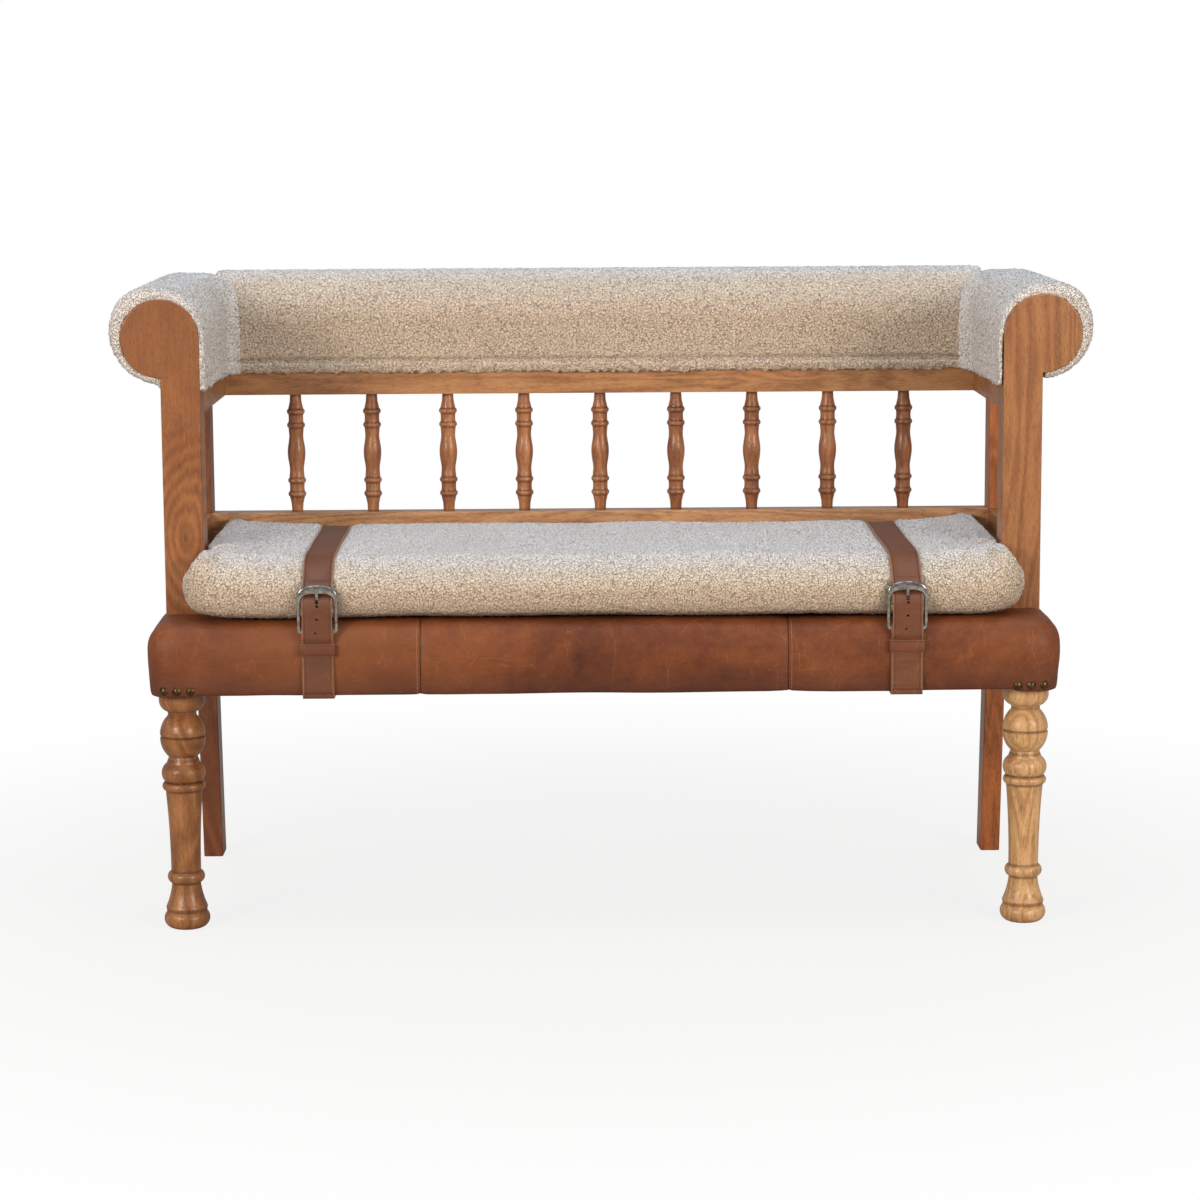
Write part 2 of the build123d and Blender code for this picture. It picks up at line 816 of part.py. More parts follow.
with BuildPart() as back_padding:
    with BuildSketch(back_plane(-back_roll_half)):
        roll_section(back_padding_radius, bottom=upper_rail_top, **back_shape)
        rail_section()
    extrude(amount=2 * back_roll_half)
    with BuildSketch(back_plane(-back_core_half)):
        core_section()
    extrude(amount=2 * back_core_half, mode=Mode.SUBTRACT)
    add(arm_rooms, mode=Mode.SUBTRACT)
write(back_padding, "back_roll_padding")

with BuildPart() as back_cover:
    with BuildSketch(back_plane(-back_roll_half)):
        roll_section(back_roll_radius, bottom=hem_bottom, **back_shape)
        rail_section()
    extrude(amount=2 * back_roll_half)
    with BuildSketch(back_plane(-back_roll_half)):
        roll_section(back_padding_radius, bottom=upper_rail_top, **back_shape)
        rail_section()
    extrude(amount=2 * back_roll_half, mode=Mode.SUBTRACT)
    add(arm_rooms, mode=Mode.SUBTRACT)
write(back_cover, "back_roll_cover")


# Leather seat over its padding

def seat_box(inset):
    """The upholstered seat as a rounded box, drawn in by inset on every face."""
    half = seat_half - inset
    front = seat_front + inset
    back = seat_back - inset
    with BuildPart() as box:
        with BuildSketch(Plane.XY.offset(leg_height + inset)) as plan:
            with Locations((0, (front + back) / 2)):
                Rectangle(2 * half, back - front)
            fillet(plan.vertices().group_by(Axis.Y)[0], seat_corner_radius - inset)
        extrude(amount=seat_height - leg_height - 2 * inset)
        top_rim = box.faces().sort_by(Axis.Z)[-1].edges().sort_by(Axis.Y)
        fillet(top_rim[:-1], seat_edge_radius - inset)
    return box.part


leather_outside = seat_box(0)
padding_outside = seat_box(leather_thickness)

with BuildPart() as seat_padding:
    add(padding_outside)
    block((-frame_half, frame_front, leg_height), (frame_half, seat_back, deck_top), mode=Mode.SUBTRACT)
    post_notches()
    nail_holes()
write(seat_padding, "seat_padding")

with BuildPart() as leather:
    add(leather_outside)
    add(padding_outside, mode=Mode.SUBTRACT)
    block(
        (-seat_half + leather_turn_under, seat_front + leather_turn_under, leg_height),
        (seat_half - leather_turn_under, seat_back - leather_turn_under, rail_bottom),
        mode=Mode.SUBTRACT,
    )
    post_notches()
    leg_sockets()
    nail_holes()
    belt_screw_holes()

panel_bounds = {
    "left": (-seat_half, -panel_seam_x),
    "middle": (-panel_seam_x, panel_seam_x),
    "right": (panel_seam_x, seat_half),
}
for name, (start, end) in panel_bounds.items():
    with BuildPart() as panel:
        add(leather.part)
        block((start, seat_front, leg_height), (end, seat_back, seat_height), mode=Mode.INTERSECT)
    write(panel, f"leather_panel_{name}")

with BuildPart() as dust_cloth:
    cloth_half = rear_post_inner - soft_gap
    block(
        (-cloth_half, seat_front + dust_cloth_inset, leg_height - dust_cloth_thickness),
        (cloth_half, rear_post_front, leg_height),
    )
    for side in sides.values():
        bottom = (side * leg_x, leg_y, leg_height - dust_cloth_thickness)
        rod(bottom, (side * leg_x, leg_y, leg_height), cap_radius + soft_gap, mode=Mode.SUBTRACT)
write(dust_cloth, "dust_cloth")

dome_radius = (nail_radius**2 + nail_dome_height**2) / (2 * nail_dome_height)
dome_half_turn = asin(nail_radius / dome_radius) / 2

with BuildPart() as corner_nails:
    for side in sides.values():
        for index in range(nail_count):
            plane = nail_plane(side, index)
            with BuildSketch(plane):
                with BuildLine():
                    Polyline(
                        (0, nail_dome_height),
                        (0, -nail_shank_length),
                        (nail_shank_radius, -nail_shank_length),
                        (nail_shank_radius, 0),
                        (nail_radius, 0),
                    )
                    ThreePointArc(
                        (nail_radius, 0),
                        (
                            dome_radius * sin(dome_half_turn),
                            nail_dome_height - dome_radius * (1 - cos(dome_half_turn)),
                        ),
                        (0, nail_dome_height),
                    )
                make_face()
            revolve(axis=Axis(plane.origin, plane.y_dir))
write(corner_nails, "corner_nails")


# Seat cushion: outlines at several heights, with ears in front of the scroll posts

cushion_front = seat_front + cushion_setback
cushion_back = rear_post_front - cushion_back_gap
cushion_half = post_inner - cushion_post_gap
cushion_ear_half = post_inner + cushion_ear
cushion_ear_back = post_front - cushion_ear_gap


def cushion_outline(height, inset):
    """The cushion's outline at a height. Past the ear, a deep inset moves the ear's corner backwards."""
    front = cushion_front + inset
    back = cushion_back - inset
    ear_half = cushion_ear_half - inset
    half = cushion_half - inset
    ear_back = cushion_ear_back + max(inset - cushion_ear, 0) / 2
    corner_radius = cushion_corner_radius - inset / 2
    back_radius = cushion_back_radius - inset / 2
    with BuildSketch(Plane.XY.offset(height)) as outline:
        with BuildLine():
            FilletPolyline(
                (-ear_half, front),
                (ear_half, front),
                (ear_half, ear_back),
                (half, ear_back),
                (half, back),
                (-half, back),
                (-half, ear_back),
                (-ear_half, ear_back),
                radius=[
                    corner_radius,
                    corner_radius,
                    cushion_ear_radius,
                    cushion_ear_radius,
                    back_radius,
                    back_radius,
                    cushion_ear_radius,
                    cushion_ear_radius,
                ],
                close=True,
            )
        make_face()
    return outline.sketch


def cushion_form(skin):
    """The cushion's form, drawn in by the thickness of its cover."""
    levels = [
        (skin, cushion_low_inset),
        (cushion_low_height, 0),
        (cushion_thickness - cushion_waist_drop, cushion_waist_inset),
        (cushion_thickness - cushion_shoulder_drop - skin, cushion_shoulder_inset),
        (cushion_thickness - skin, cushion_crown_inset),
    ]
    outlines = [cushion_outline(cushion_bottom + height, inset + skin) for height, inset in levels]
    with BuildPart() as form:
        loft(outlines)
    return form.part


cushion_outside = cushion_form(0)
cushion_inside = cushion_form(cushion_cover_thickness)

with BuildPart() as cushion_filling:
    add(cushion_inside)
write(cushion_filling, "cushion_filling")

with BuildPart() as cushion_cover:
    add(cushion_outside)
    add(cushion_inside, mode=Mode.SUBTRACT)
write(cushion_cover, "cushion_cover")


# Belts. Places along Y of the layers in front of the leather, and of the strap on its way round.

def belt_plane(x):
    """A plane across the belt, whose x is the bench's Y and whose y is its height."""
    return Plane(origin=(x, 0, 0), x_dir=(0, 1, 0), z_dir=(1, 0, 0))


half_strap = strap_thickness / 2
half_tab = tab_thickness / 2
keeper_back_y = seat_front - soft_gap
tab_y = keeper_back_y - keeper_wall - soft_gap - half_tab
tail_y = tab_y - half_tab - soft_gap - half_strap
keeper_front_y = tail_y - half_strap - soft_gap - keeper_wall
tab_loop_radius = heel_bar_radius + turning_gap + half_tab
tail_over_heel_y = heel_y - tab_loop_radius - half_tab - soft_gap - half_strap
prong_ring_radius = heel_bar_radius + turning_gap + prong_ring_thickness
tail_behind_bar_y = heel_y + buckle_thickness / 2 + soft_gap + half_strap
strap_back_y = seat_back + soft_gap + half_strap
strap_over_seat_z = seat_height + soft_gap + half_strap
strap_behind_cushion_y = cushion_back + strap_cushion_room + half_strap
strap_over_cushion_z = cushion_top + soft_gap + half_strap
strap_cushion_radius = strap_over_cushion_z - buckle_top
prong_bar_y = heel_y - buckle_thickness / 2 - soft_gap - prong_thickness / 2
prong_slot_top = top_bar_bottom - soft_gap
hole_heights = [prong_slot_top - strap_hole_pitch * (index + 1) for index in range(strap_hole_count)]
tail_straight_top = keeper_top + soft_gap
prong_bend = top_bar_bottom - prong_rise


def strap(x):
    """The long strap, from under the seat round its back, over the cushion and through the buckle."""
    with BuildPart() as belt:
        with BuildSketch(belt_plane(x)):
            with BuildLine():
                FilletPolyline(
                    (strap_back_y - strap_under_length, strap_under_z),
                    (strap_back_y, strap_under_z),
                    (strap_back_y, strap_over_seat_z),
                    (strap_behind_cushion_y, strap_over_seat_z),
                    (strap_behind_cushion_y, strap_over_cushion_z),
                    (cushion_front + strap_cushion_room, strap_over_cushion_z),
                    (tail_behind_bar_y, buckle_top),
                    (tail_behind_bar_y, top_bar_bottom - strap_bar_drop),
                    (tail_over_heel_y, prong_bend),
                    (tail_over_heel_y, heel_height - tab_loop_radius),
                    (tail_y, tail_straight_top),
                    (tail_y, strap_tip_height),
                    radius=[
                        half_strap + soft_gap,
                        half_strap + soft_gap,
                        strap_bend_radius,
                        strap_cushion_radius,
                        strap_cushion_radius,
                        strap_bend_radius,
                        strap_bend_radius,
                        strap_bend_radius,
                        strap_bend_radius,
                        strap_bend_radius,
                    ],
                )
            trace(line_width=strap_thickness)
        extrude(amount=strap_width / 2, both=True)
        belt_screw_holes()
        for height in hole_heights:
            rod((x, cushion_front, height), (x, -overall_depth, height), strap_hole_radius, Mode.SUBTRACT)
        half_slot = prong_slot_width / 2
        slot_bottom = prong_slot_top - prong_slot_length
        block(
            (x - half_slot, cushion_front, slot_bottom),
            (x + half_slot, -overall_depth, prong_slot_top),
            Mode.SUBTRACT,
        )
    return belt


def buckle_tab(x):
    """The short strap that holds the buckle: from under the seat up its front and round the heel bar."""
    loop_front = heel_y - tab_loop_radius
    loop_back = heel_y + tab_loop_radius
    with BuildPart() as tab:
        with BuildSketch(belt_plane(x)):
            with BuildLine():
                FilletPolyline(
                    (tab_y + tab_under_length, tab_under_z),
                    (tab_y, tab_under_z),
                    (tab_y, tail_straight_top),
                    (loop_front, heel_height - tab_loop_radius),
                    (loop_front, heel_height),
                    radius=[half_tab + soft_gap, strap_bend_radius, strap_bend_radius],
                )
                ThreePointArc(
                    (loop_front, heel_height),
                    (heel_y, heel_height + tab_loop_radius),
                    (loop_back, heel_height),
                )
                Line((loop_back, heel_height), (loop_back, heel_height - tab_turn_length))
            trace(line_width=tab_thickness)
        extrude(amount=tab_width / 2, both=True)
        belt_screw_holes()
        slot_low = heel_height - prong_ring_radius - soft_gap
        slot_high = heel_height + tab_loop_radius + tab_thickness
        block(
            (x - prong_slot_side, heel_y - tab_loop_radius - tab_thickness, slot_low),
            (x + prong_slot_side, heel_y + tab_loop_radius + tab_thickness, slot_high),
            Mode.SUBTRACT,
        )
    return tab


def buckle_frame(x):
    """A flat ring whose lower bar is round, so that the tab and the prong can turn on it."""
    upright = Plane(origin=(x, heel_y, 0), x_dir=(1, 0, 0), z_dir=(0, -1, 0))
    with BuildPart() as frame:
        with BuildSketch(upright):
            with Locations((0, (buckle_bottom + buckle_top) / 2)):
                RectangleRounded(buckle_width, buckle_height, buckle_corner_radius)
            with Locations((0, top_bar_bottom - buckle_height / 2)):
                Rectangle(buckle_window_width, buckle_height, mode=Mode.SUBTRACT)
        extrude(amount=buckle_thickness / 2, both=True)
        fillet(frame.edges().filter_by(Axis.Y, reverse=True), buckle_edge_radius)
        half_bar = (buckle_width + buckle_window_width) / 4
        rod((x - half_bar, heel_y, heel_height), (x + half_bar, heel_y, heel_height), heel_bar_radius)
    return frame


def prong(x):
    """A ring on the heel bar with a flat tongue that rises through the strap on to the top bar."""
    with BuildPart() as tongue:
        with BuildSketch(belt_plane(x)):
            with Locations((heel_y, heel_height)):
                Circle(prong_ring_radius)
            with BuildLine():
                FilletPolyline(
                    (heel_y, heel_height),
                    (heel_y, prong_bend),
                    (prong_bar_y, top_bar_bottom),
                    (prong_bar_y, buckle_top - prong_tip_inset),
                    radius=[prong_rise, prong_thickness],
                )
            trace(line_width=prong_thickness)
            with Locations((heel_y, heel_height)):
                Circle(heel_bar_radius + turning_gap, mode=Mode.SUBTRACT)
        extrude(amount=prong_width / 2, both=True)
    return tongue


def keeper(x):
    """A leather loop round the tab and the end of the strap."""
    half_inside = tab_width / 2 + keeper_side_gap
    half_outside = half_inside + keeper_side_wall
    with BuildPart() as loop:
        block(
            (x - half_outside, keeper_back_y, keeper_top),
            (x + half_outside, keeper_front_y, keeper_top - keeper_height),
        )
        fillet(loop.edges().filter_by(Axis.Z), keeper_wall)
        block(
            (x - half_inside, keeper_back_y - keeper_wall, keeper_top),
            (x + half_inside, keeper_front_y + keeper_wall, keeper_top - keeper_height),
            Mode.SUBTRACT,
        )
    return loop


for name, x in belts.items():
    write(strap(x), f"belt_strap_{name}")
    write(buckle_tab(x), f"buckle_tab_{name}")
    write(buckle_frame(x), f"buckle_frame_{name}")
    write(prong(x), f"buckle_prong_{name}")
    write(keeper(x), f"belt_keeper_{name}")


# Bolts of the scroll posts and screws of the belts, as one group

with BuildPart() as frame_fasteners:
    for side in sides.values():
        for head, end in post_bolt_places(side):
            rod(head, end, post_bolt_radius)
            rod(head, (head[0] - side * post_bolt_head_height, head[1], head[2]), post_bolt_head_radius)
    for x in belts.values():
        for seat in belt_screw_places(x):
            rod(seat, (seat[0], seat[1], seat[2] + belt_screw_length), belt_screw_radius)
            rod(seat, (seat[0], seat[1], seat[2] - belt_screw_head_height), belt_screw_head_radius)
write(frame_fasteners, "frame_fasteners")
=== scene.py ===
from math import pi, radians

import bpy
import numpy as np
from mathutils import Matrix, Vector, noise


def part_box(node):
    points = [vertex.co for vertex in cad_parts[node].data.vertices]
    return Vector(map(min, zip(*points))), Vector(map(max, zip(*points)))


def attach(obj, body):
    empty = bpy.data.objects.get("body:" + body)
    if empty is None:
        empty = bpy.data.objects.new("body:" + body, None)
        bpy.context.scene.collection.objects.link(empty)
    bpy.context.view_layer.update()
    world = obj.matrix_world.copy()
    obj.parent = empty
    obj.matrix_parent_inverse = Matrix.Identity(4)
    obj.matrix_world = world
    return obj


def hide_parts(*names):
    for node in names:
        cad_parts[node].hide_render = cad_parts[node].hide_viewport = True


# Looks of a hall bench, in metres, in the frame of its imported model.
# X runs along the bench, Y from its front to its back, Z up from the floor.

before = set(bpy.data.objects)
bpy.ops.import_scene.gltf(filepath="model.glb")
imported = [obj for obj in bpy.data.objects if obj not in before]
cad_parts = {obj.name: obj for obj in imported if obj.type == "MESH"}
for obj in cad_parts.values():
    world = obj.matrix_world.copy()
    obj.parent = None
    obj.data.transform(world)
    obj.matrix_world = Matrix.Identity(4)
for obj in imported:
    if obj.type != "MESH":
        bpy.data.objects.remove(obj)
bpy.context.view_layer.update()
scene = bpy.context.scene
SIDES = {"left": -1, "right": 1}

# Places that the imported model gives
seat_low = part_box("seat_padding")[0]
middle_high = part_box("leather_panel_middle")[1]
end_low, end_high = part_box("leather_panel_right")
cushion_low, cushion_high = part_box("cushion_cover")
back_roll_low, back_roll_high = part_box("back_roll_cover")
arm_roll_low, arm_roll_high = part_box("arm_roll_cover_right")
post_low, post_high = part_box("scroll_post_right")
rear_post_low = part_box("rear_post_right")[0]
upper_rail_low, upper_rail_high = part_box("back_upper_rail")
arm_rail_low, arm_rail_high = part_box("arm_upper_rail_right")
lower_rail_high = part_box("back_lower_rail")[1]
cloth_low, cloth_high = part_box("dust_cloth")

# How fine the soft pieces are meshed
PILE_VOXEL = 0.0046
CUSHION_VOXEL = 0.0062
LEATHER_VOXEL = 0.0045

# Sizes of the pile and the rolls
PILE_HEIGHT = 0.0026
TUFT_SIZE = 0.0047
SKIN = 0.0003
CUT_LOW = 0.4
CUT_BACK = 0.4
CUT_SPARE = 0.02
ARM_ROLL_RADIUS = 0.059
BACK_ROLL_RADIUS = 0.062
DISC_RADIUS = 0.048
DISC_LAP = 0.0025
ROLL_END_GAP = 0.004
ARM_OVERLAP = 0.006
ARM_FRONT_ROUND = 0.0105
ARM_REAR_ROUND = 0.038
HEM_SEAM_RISE = 0.017
HEM_SEAM_HALF = 0.005
HEM_SEAM_DEPTH = 0.005
ARM_SEAM_DEPTH = 0.001
HEM_EDGE = 0.007
HEM_WALL = 0.012
ARM_CORNER_LIFT = 0.009
ARM_CORNER_PUSH = 0.006
ARM_OUTER_LIFT = 0.0048
ARM_SHOULDER_LIFT = 0.0022
ARM_SHOULDER_PUSH = 0.0012
ARM_LIFTS = {"left": 0.003, "right": 0.0015}
CORNER_REACH = 0.030
CORNER_FILL = 0.016
# the least share of painted bluish top light on the arms' pile
ARM_TOP_LIGHT = 0.6

# Sizes of the cushion
CUSHION_SWELL = 0.007
CUSHION_REST = 0.0015
CUSHION_UNEVEN = 0.002
CUSHION_WAIST = 0.030
POST_CLEARANCE = 0.0035
REAR_PUSH = 0.018
REAR_LIFT = 0.007
END_STRETCH = 0.012
END_STRETCH_BEHIND = 0.063
STRAP_DENT = 0.0045
DENT_SIDE = 0.012

# Sizes of the leather seat
SEAT_CORNER = 0.030
SEAT_EDGE = 0.026
SEAT_BULGE = 0.0025
FOLD_HEIGHT = 0.0012
SLACK_HEIGHT = 0.0015
SEAM_PINCH = 0.0012
SEAM_DRAW = 0.0008
FLAP_START = 0.494
FLAP_EDGE = 0.012
FLAP_DROP = 0.0025

# Sizes of the belts
RIBBON_STEPS = 10
STRAP_WIDTH = 0.036
STRAP_THICKNESS = 0.0028
TAB_THICKNESS = 0.0025
TAB_SPARE_WIDTH = 0.0014
KEEPER_ROOM = 0.0018
KEEPER_WALL_X = 0.002
KEEPER_WALL_Y = 0.0015
TIP_RISE = 0.005
SIDE_BAR = 0.0044
TOP_BAR = 0.0105
HEEL_BAR = 0.0044
TOP_ARCH = 0.0055
TOP_ARCH_INSIDE = 0.0025
BUCKLE_EDGE = 0.0014
PRONG_ROOM = 0.0014
PRONG_SLOT = (0.0042, 0.0085)
PRONG_SLOT_DROP = 0.003
RING_SLOT_WIDTH = 0.0068
HOLE_RADIUS = 0.0017
HOLE_DROPS = (0.0139, 0.0298, 0.0460)
HOLE_SHIFTS = (0.0004, -0.0002, -0.0020)

# Sizes of the dust cloth
CLOTH_THICKNESS = 0.0006
CLOTH_RIM = 0.08
CLOTH_SAG = 0.0025
CLOTH_UNEVEN = 0.0015


# Node trees

class Signal:
    """A shader socket that takes part in sums and products."""

    def __init__(self, tree, socket):
        self.tree = tree
        self.socket = socket

    def __add__(self, other):
        return self.tree.math("ADD", self, other)

    __radd__ = __add__

    def __mul__(self, other):
        return self.tree.math("MULTIPLY", self, other)

    __rmul__ = __mul__

    def __sub__(self, other):
        return self.tree.math("SUBTRACT", self, other)

    def __rsub__(self, other):
        return self.tree.math("SUBTRACT", other, self)

    def __truediv__(self, other):
        return self.tree.math("DIVIDE", self, other)


class Nodes:
    """A node tree that is written as expressions."""

    def __init__(self, tree):
        self.tree = tree

    def node(self, kind, settings=None, sockets=None, output=0):
        """Adds a node: its settings first, then the values or links of its sockets."""
        made = self.tree.nodes.new(kind)
        for key, value in (settings or {}).items():
            if key == "stops":
                self.set_stops(made.color_ramp, value)
            else:
                setattr(made, key, value)
        for key, value in (sockets or {}).items():
            self.feed(made.inputs[key], value)
        return Signal(self, made.outputs[output])

    def set_stops(self, ramp, stops):
        while len(ramp.elements) < len(stops):
            ramp.elements.new(1.0)
        for element, (place, colour) in zip(ramp.elements, stops):
            element.position = place
            element.color = colour

    def feed(self, socket, value):
        if isinstance(value, Signal):
            self.tree.links.new(value.socket, socket)
        else:
            socket.default_value = value

    def math(self, operation, *values, clamp=False):
        settings = {"operation": operation, "use_clamp": clamp}
        return self.node("ShaderNodeMath", settings, dict(enumerate(values)))

    def place(self, scale=(1, 1, 1)):
        """The point on the piece, in the bench's own frame, scaled."""
        point = self.node("ShaderNodeTexCoord", output="Object")
        return self.node("ShaderNodeMapping", None, {"Vector": point, "Scale": scale})

    def noise(self, point, scale, detail=2.0, rough=0.5, warp=0.0, output=0):
        sockets = {"Vector": point, "Scale": scale, "Detail": detail}
        sockets.update({"Roughness": rough, "Distortion": warp})
        return self.node("ShaderNodeTexNoise", None, sockets, output)

    def cells(self, point, scale, feature="F1"):
        sockets = {"Vector": point, "Scale": scale}
        return self.node("ShaderNodeTexVoronoi", {"feature": feature}, sockets)

    def bend(self, point, scale, reach):
        """A point pushed about by smooth noise."""
        push = self.noise(point, scale, output=1)
        sockets = {0: push, 1: (reach,) * 3, 2: point}
        return self.node("ShaderNodeVectorMath", {"operation": "MULTIPLY_ADD"}, sockets)

    def cracks(self, point, scale, half_width):
        """1 along thin lines between cells, 0 elsewhere."""
        return self.band(self.cells(point, scale, "DISTANCE_TO_EDGE"), 0.0, half_width)

    def mark(self, name):
        """A value that the mesh carries at its points."""
        return self.node("ShaderNodeAttribute", {"attribute_name": name}, output="Fac")

    def axis(self, name, point=None):
        return self.node("ShaderNodeSeparateXYZ", None, {0: point or self.place()}, name)

    def band(self, value, centre, half_width):
        """1 where a value is at the centre, falling to 0 at half a width from it."""
        away = self.math("ABSOLUTE", value - centre)
        return self.math("SUBTRACT", 1.0, away / half_width, clamp=True)

    def step(self, value, low, high):
        """Rises smoothly from 0 to 1 between two values."""
        settings = {"interpolation_type": "SMOOTHSTEP"}
        sockets = {"Value": value, "From Min": low, "From Max": high}
        return self.node("ShaderNodeMapRange", settings, sockets)

    def ramp(self, value, *stops):
        return self.node("ShaderNodeValToRGB", {"stops": stops}, {0: value})

    def mix(self, share, first, second, blend="MIX"):
        settings = {"data_type": "RGBA", "blend_type": blend}
        return self.node("ShaderNodeMix", settings, {0: share, 6: first, 7: second}, 2)

    def bump(self, height, distance, strength=1.0, normal=None):
        sockets = {"Height": height, "Distance": distance, "Strength": strength}
        if normal:
            sockets["Normal"] = normal
        return self.node("ShaderNodeBump", None, sockets)


class Finish(Nodes):
    """A material with one principled surface."""

    def __init__(self, name):
        self.material = bpy.data.materials.new(name)
        self.material.use_nodes = True
        super().__init__(self.material.node_tree)
        self.inputs = self.tree.nodes["Principled BSDF"].inputs

    def surface(self, **values):
        """Sets the surface's sockets, named with underscores for spaces."""
        for name, value in values.items():
            self.feed(self.inputs[name.replace("_", " ")], value)
        return self.material


def colour(red, green, blue):
    """A colour from its usual 0 to 255 values, as light."""
    def light(value):
        share = value / 255
        return share / 12.92 if share < 0.04045 else ((share + 0.055) / 1.055) ** 2.4
    return light(red), light(green), light(blue), 1.0


# Finishes

def pile_finish():
    """Cream looped pile: small curled tufts with painted shade in the gaps between them, a painted bluish
    top light where it faces up, and painted warm shade on its lower front faces.
    """
    finish = Finish("pile_fabric")
    point = finish.place()
    curled = finish.bend(point, 260, 0.006)
    tufts = finish.step(finish.cells(curled, 290, "DISTANCE_TO_EDGE"), 0.0, 0.10)
    fibres = finish.noise(point, 1200, detail=2)
    height = tufts * 0.72 + fibres * 0.28
    patches = finish.noise(point, 14, detail=3)
    # painted shade: the low parts between the tufts take the darker colours of the ramp
    tone = finish.ramp(
        height + (patches - 0.5) * 0.10,
        (0.15, colour(158, 136, 115)),
        (0.40, colour(192, 174, 156)),
        (0.70, colour(211, 196, 181)),
        (0.95, colour(225, 213, 200)),
    )
    # painted light: pile marked upward is tinted bluish and paler, as if lit from above
    tone = finish.mix(finish.mark("upward"), tone, (1.13, 1.25, 1.48, 1), "MULTIPLY")
    # painted shade: lower faces turned to the front are tinted warmer and darker
    tone = finish.mix(finish.mark("forward"), tone, (0.93, 0.85, 0.76, 1), "MULTIPLY")
    return finish.surface(
        Base_Color=tone,
        Roughness=0.95,
        Sheen_Weight=0.15,
        Sheen_Roughness=0.6,
        Specular_IOR_Level=0.1,
        Normal=finish.bump(height, 0.0024, 0.85),
    )


def hide_tone(finish, point):
    """The mottled brown of an oiled hide, with pale scuffs where it has been pulled and worn."""
    clouds = finish.noise(point, 7, detail=5, rough=0.62, warp=0.6)
    spots = finish.noise(point, 46, detail=4, rough=0.6)
    dapple = finish.noise(point, 210, detail=3, rough=0.6)
    mottle = clouds * 0.6 + spots * 0.24 + dapple * 0.16
    tone = finish.ramp(
        mottle,
        (0.30, colour(72, 32, 15)),
        (0.46, colour(106, 53, 25)),
        (0.58, colour(126, 68, 34)),
        (0.74, colour(154, 92, 50)),
    )
    wavy = finish.bend(point, 18, 0.016)
    slant = {"Vector": wavy, "Rotation": (0.3, 0.6, 0.2), "Scale": (1, 1, 0.3)}
    tilted = finish.node("ShaderNodeMapping", None, slant)
    scuffs = finish.cracks(tilted, 22, 0.014) * finish.step(spots, 0.46, 0.62)
    scratches = finish.cracks(wavy, 13, 0.007) * finish.step(clouds, 0.45, 0.6)
    return finish.mix((scuffs + scratches) * 0.28, tone, colour(176, 116, 72)), mottle


def hide_grain(finish, point):
    """Fine pebbled grain with soft creases."""
    pebbles = finish.cells(point, 620)
    creases = finish.noise(finish.place(scale=(1, 1, 3.5)), 22, detail=4, warp=0.8)
    return finish.bump(creases, 0.003, 0.35, finish.bump(pebbles, 0.0004, 0.5))


def leather_finish():
    """The seat's hide, darker along its lower edge, paler across the left panel with painted sheen and
    wear, with sewn seams between the panels.
    """
    finish = Finish("seat_leather")
    point = finish.place()
    tone, mottle = hide_tone(finish, point)
    height = finish.axis("Z", point)
    # a paler patch across the left panel: partly painted reflection of the sky, partly wear from use
    wear_and_sheen = finish.band(finish.axis("X", point), -0.34, 0.24)
    tone = finish.mix(wear_and_sheen * 0.5, tone, colour(148, 88, 48))
    low_edge = 1 - finish.step(height, seat_low.z, seat_low.z + 0.045)
    tone = finish.mix(low_edge * 0.55, tone, colour(74, 39, 29))
    from_seam = finish.math("ABSOLUTE", finish.axis("X", point)) - middle_high.x
    crease = finish.band(from_seam, 0.0, 0.0016)
    tone = finish.mix(crease * 0.8, tone, colour(52, 27, 20))
    along = finish.axis("Y", point) + height
    dashes = finish.step(finish.math("FRACT", along / 0.0042), 0.2, 0.35)
    thread = finish.band(from_seam, 0.0042, 0.0007) * dashes
    tone = finish.mix(thread * 0.75, tone, colour(168, 112, 78))
    return finish.surface(
        Base_Color=tone,
        Roughness=0.40 + mottle * 0.25,
        Specular_IOR_Level=0.32,
        Normal=hide_grain(finish, point),
    )


def strap_finish(name, tint):
    """Belt leather with a creased line along both edges."""
    finish = Finish(name)
    point = finish.place()
    tone, mottle = hide_tone(finish, point)
    tone = finish.mix(0.5, tone, tint)
    from_middle = finish.math("ABSOLUTE", finish.mark("across"))
    line = finish.band(from_middle, 0.42, 0.022)
    rim = finish.step(from_middle, 0.47, 0.495)
    tone = finish.mix(line * 0.5, tone, colour(60, 33, 20))
    tone = finish.mix(rim * 0.7, tone, colour(172, 122, 82))
    pressed = finish.bump(1 - line, 0.0006, 0.8, hide_grain(finish, point))
    return finish.surface(Base_Color=tone, Roughness=0.42 + mottle * 0.25, Normal=pressed)


def raw_edge_finish():
    """The cut edge of belt leather: pale and fibrous."""
    finish = Finish("belt_edge")
    fibres = finish.noise(finish.place(), 700, detail=3)
    tone = finish.ramp(fibres, (0.3, colour(124, 80, 50)), (0.7, colour(182, 132, 92)))
    return finish.surface(Base_Color=tone, Roughness=0.9, Normal=finish.bump(fibres, 0.0005, 0.5))


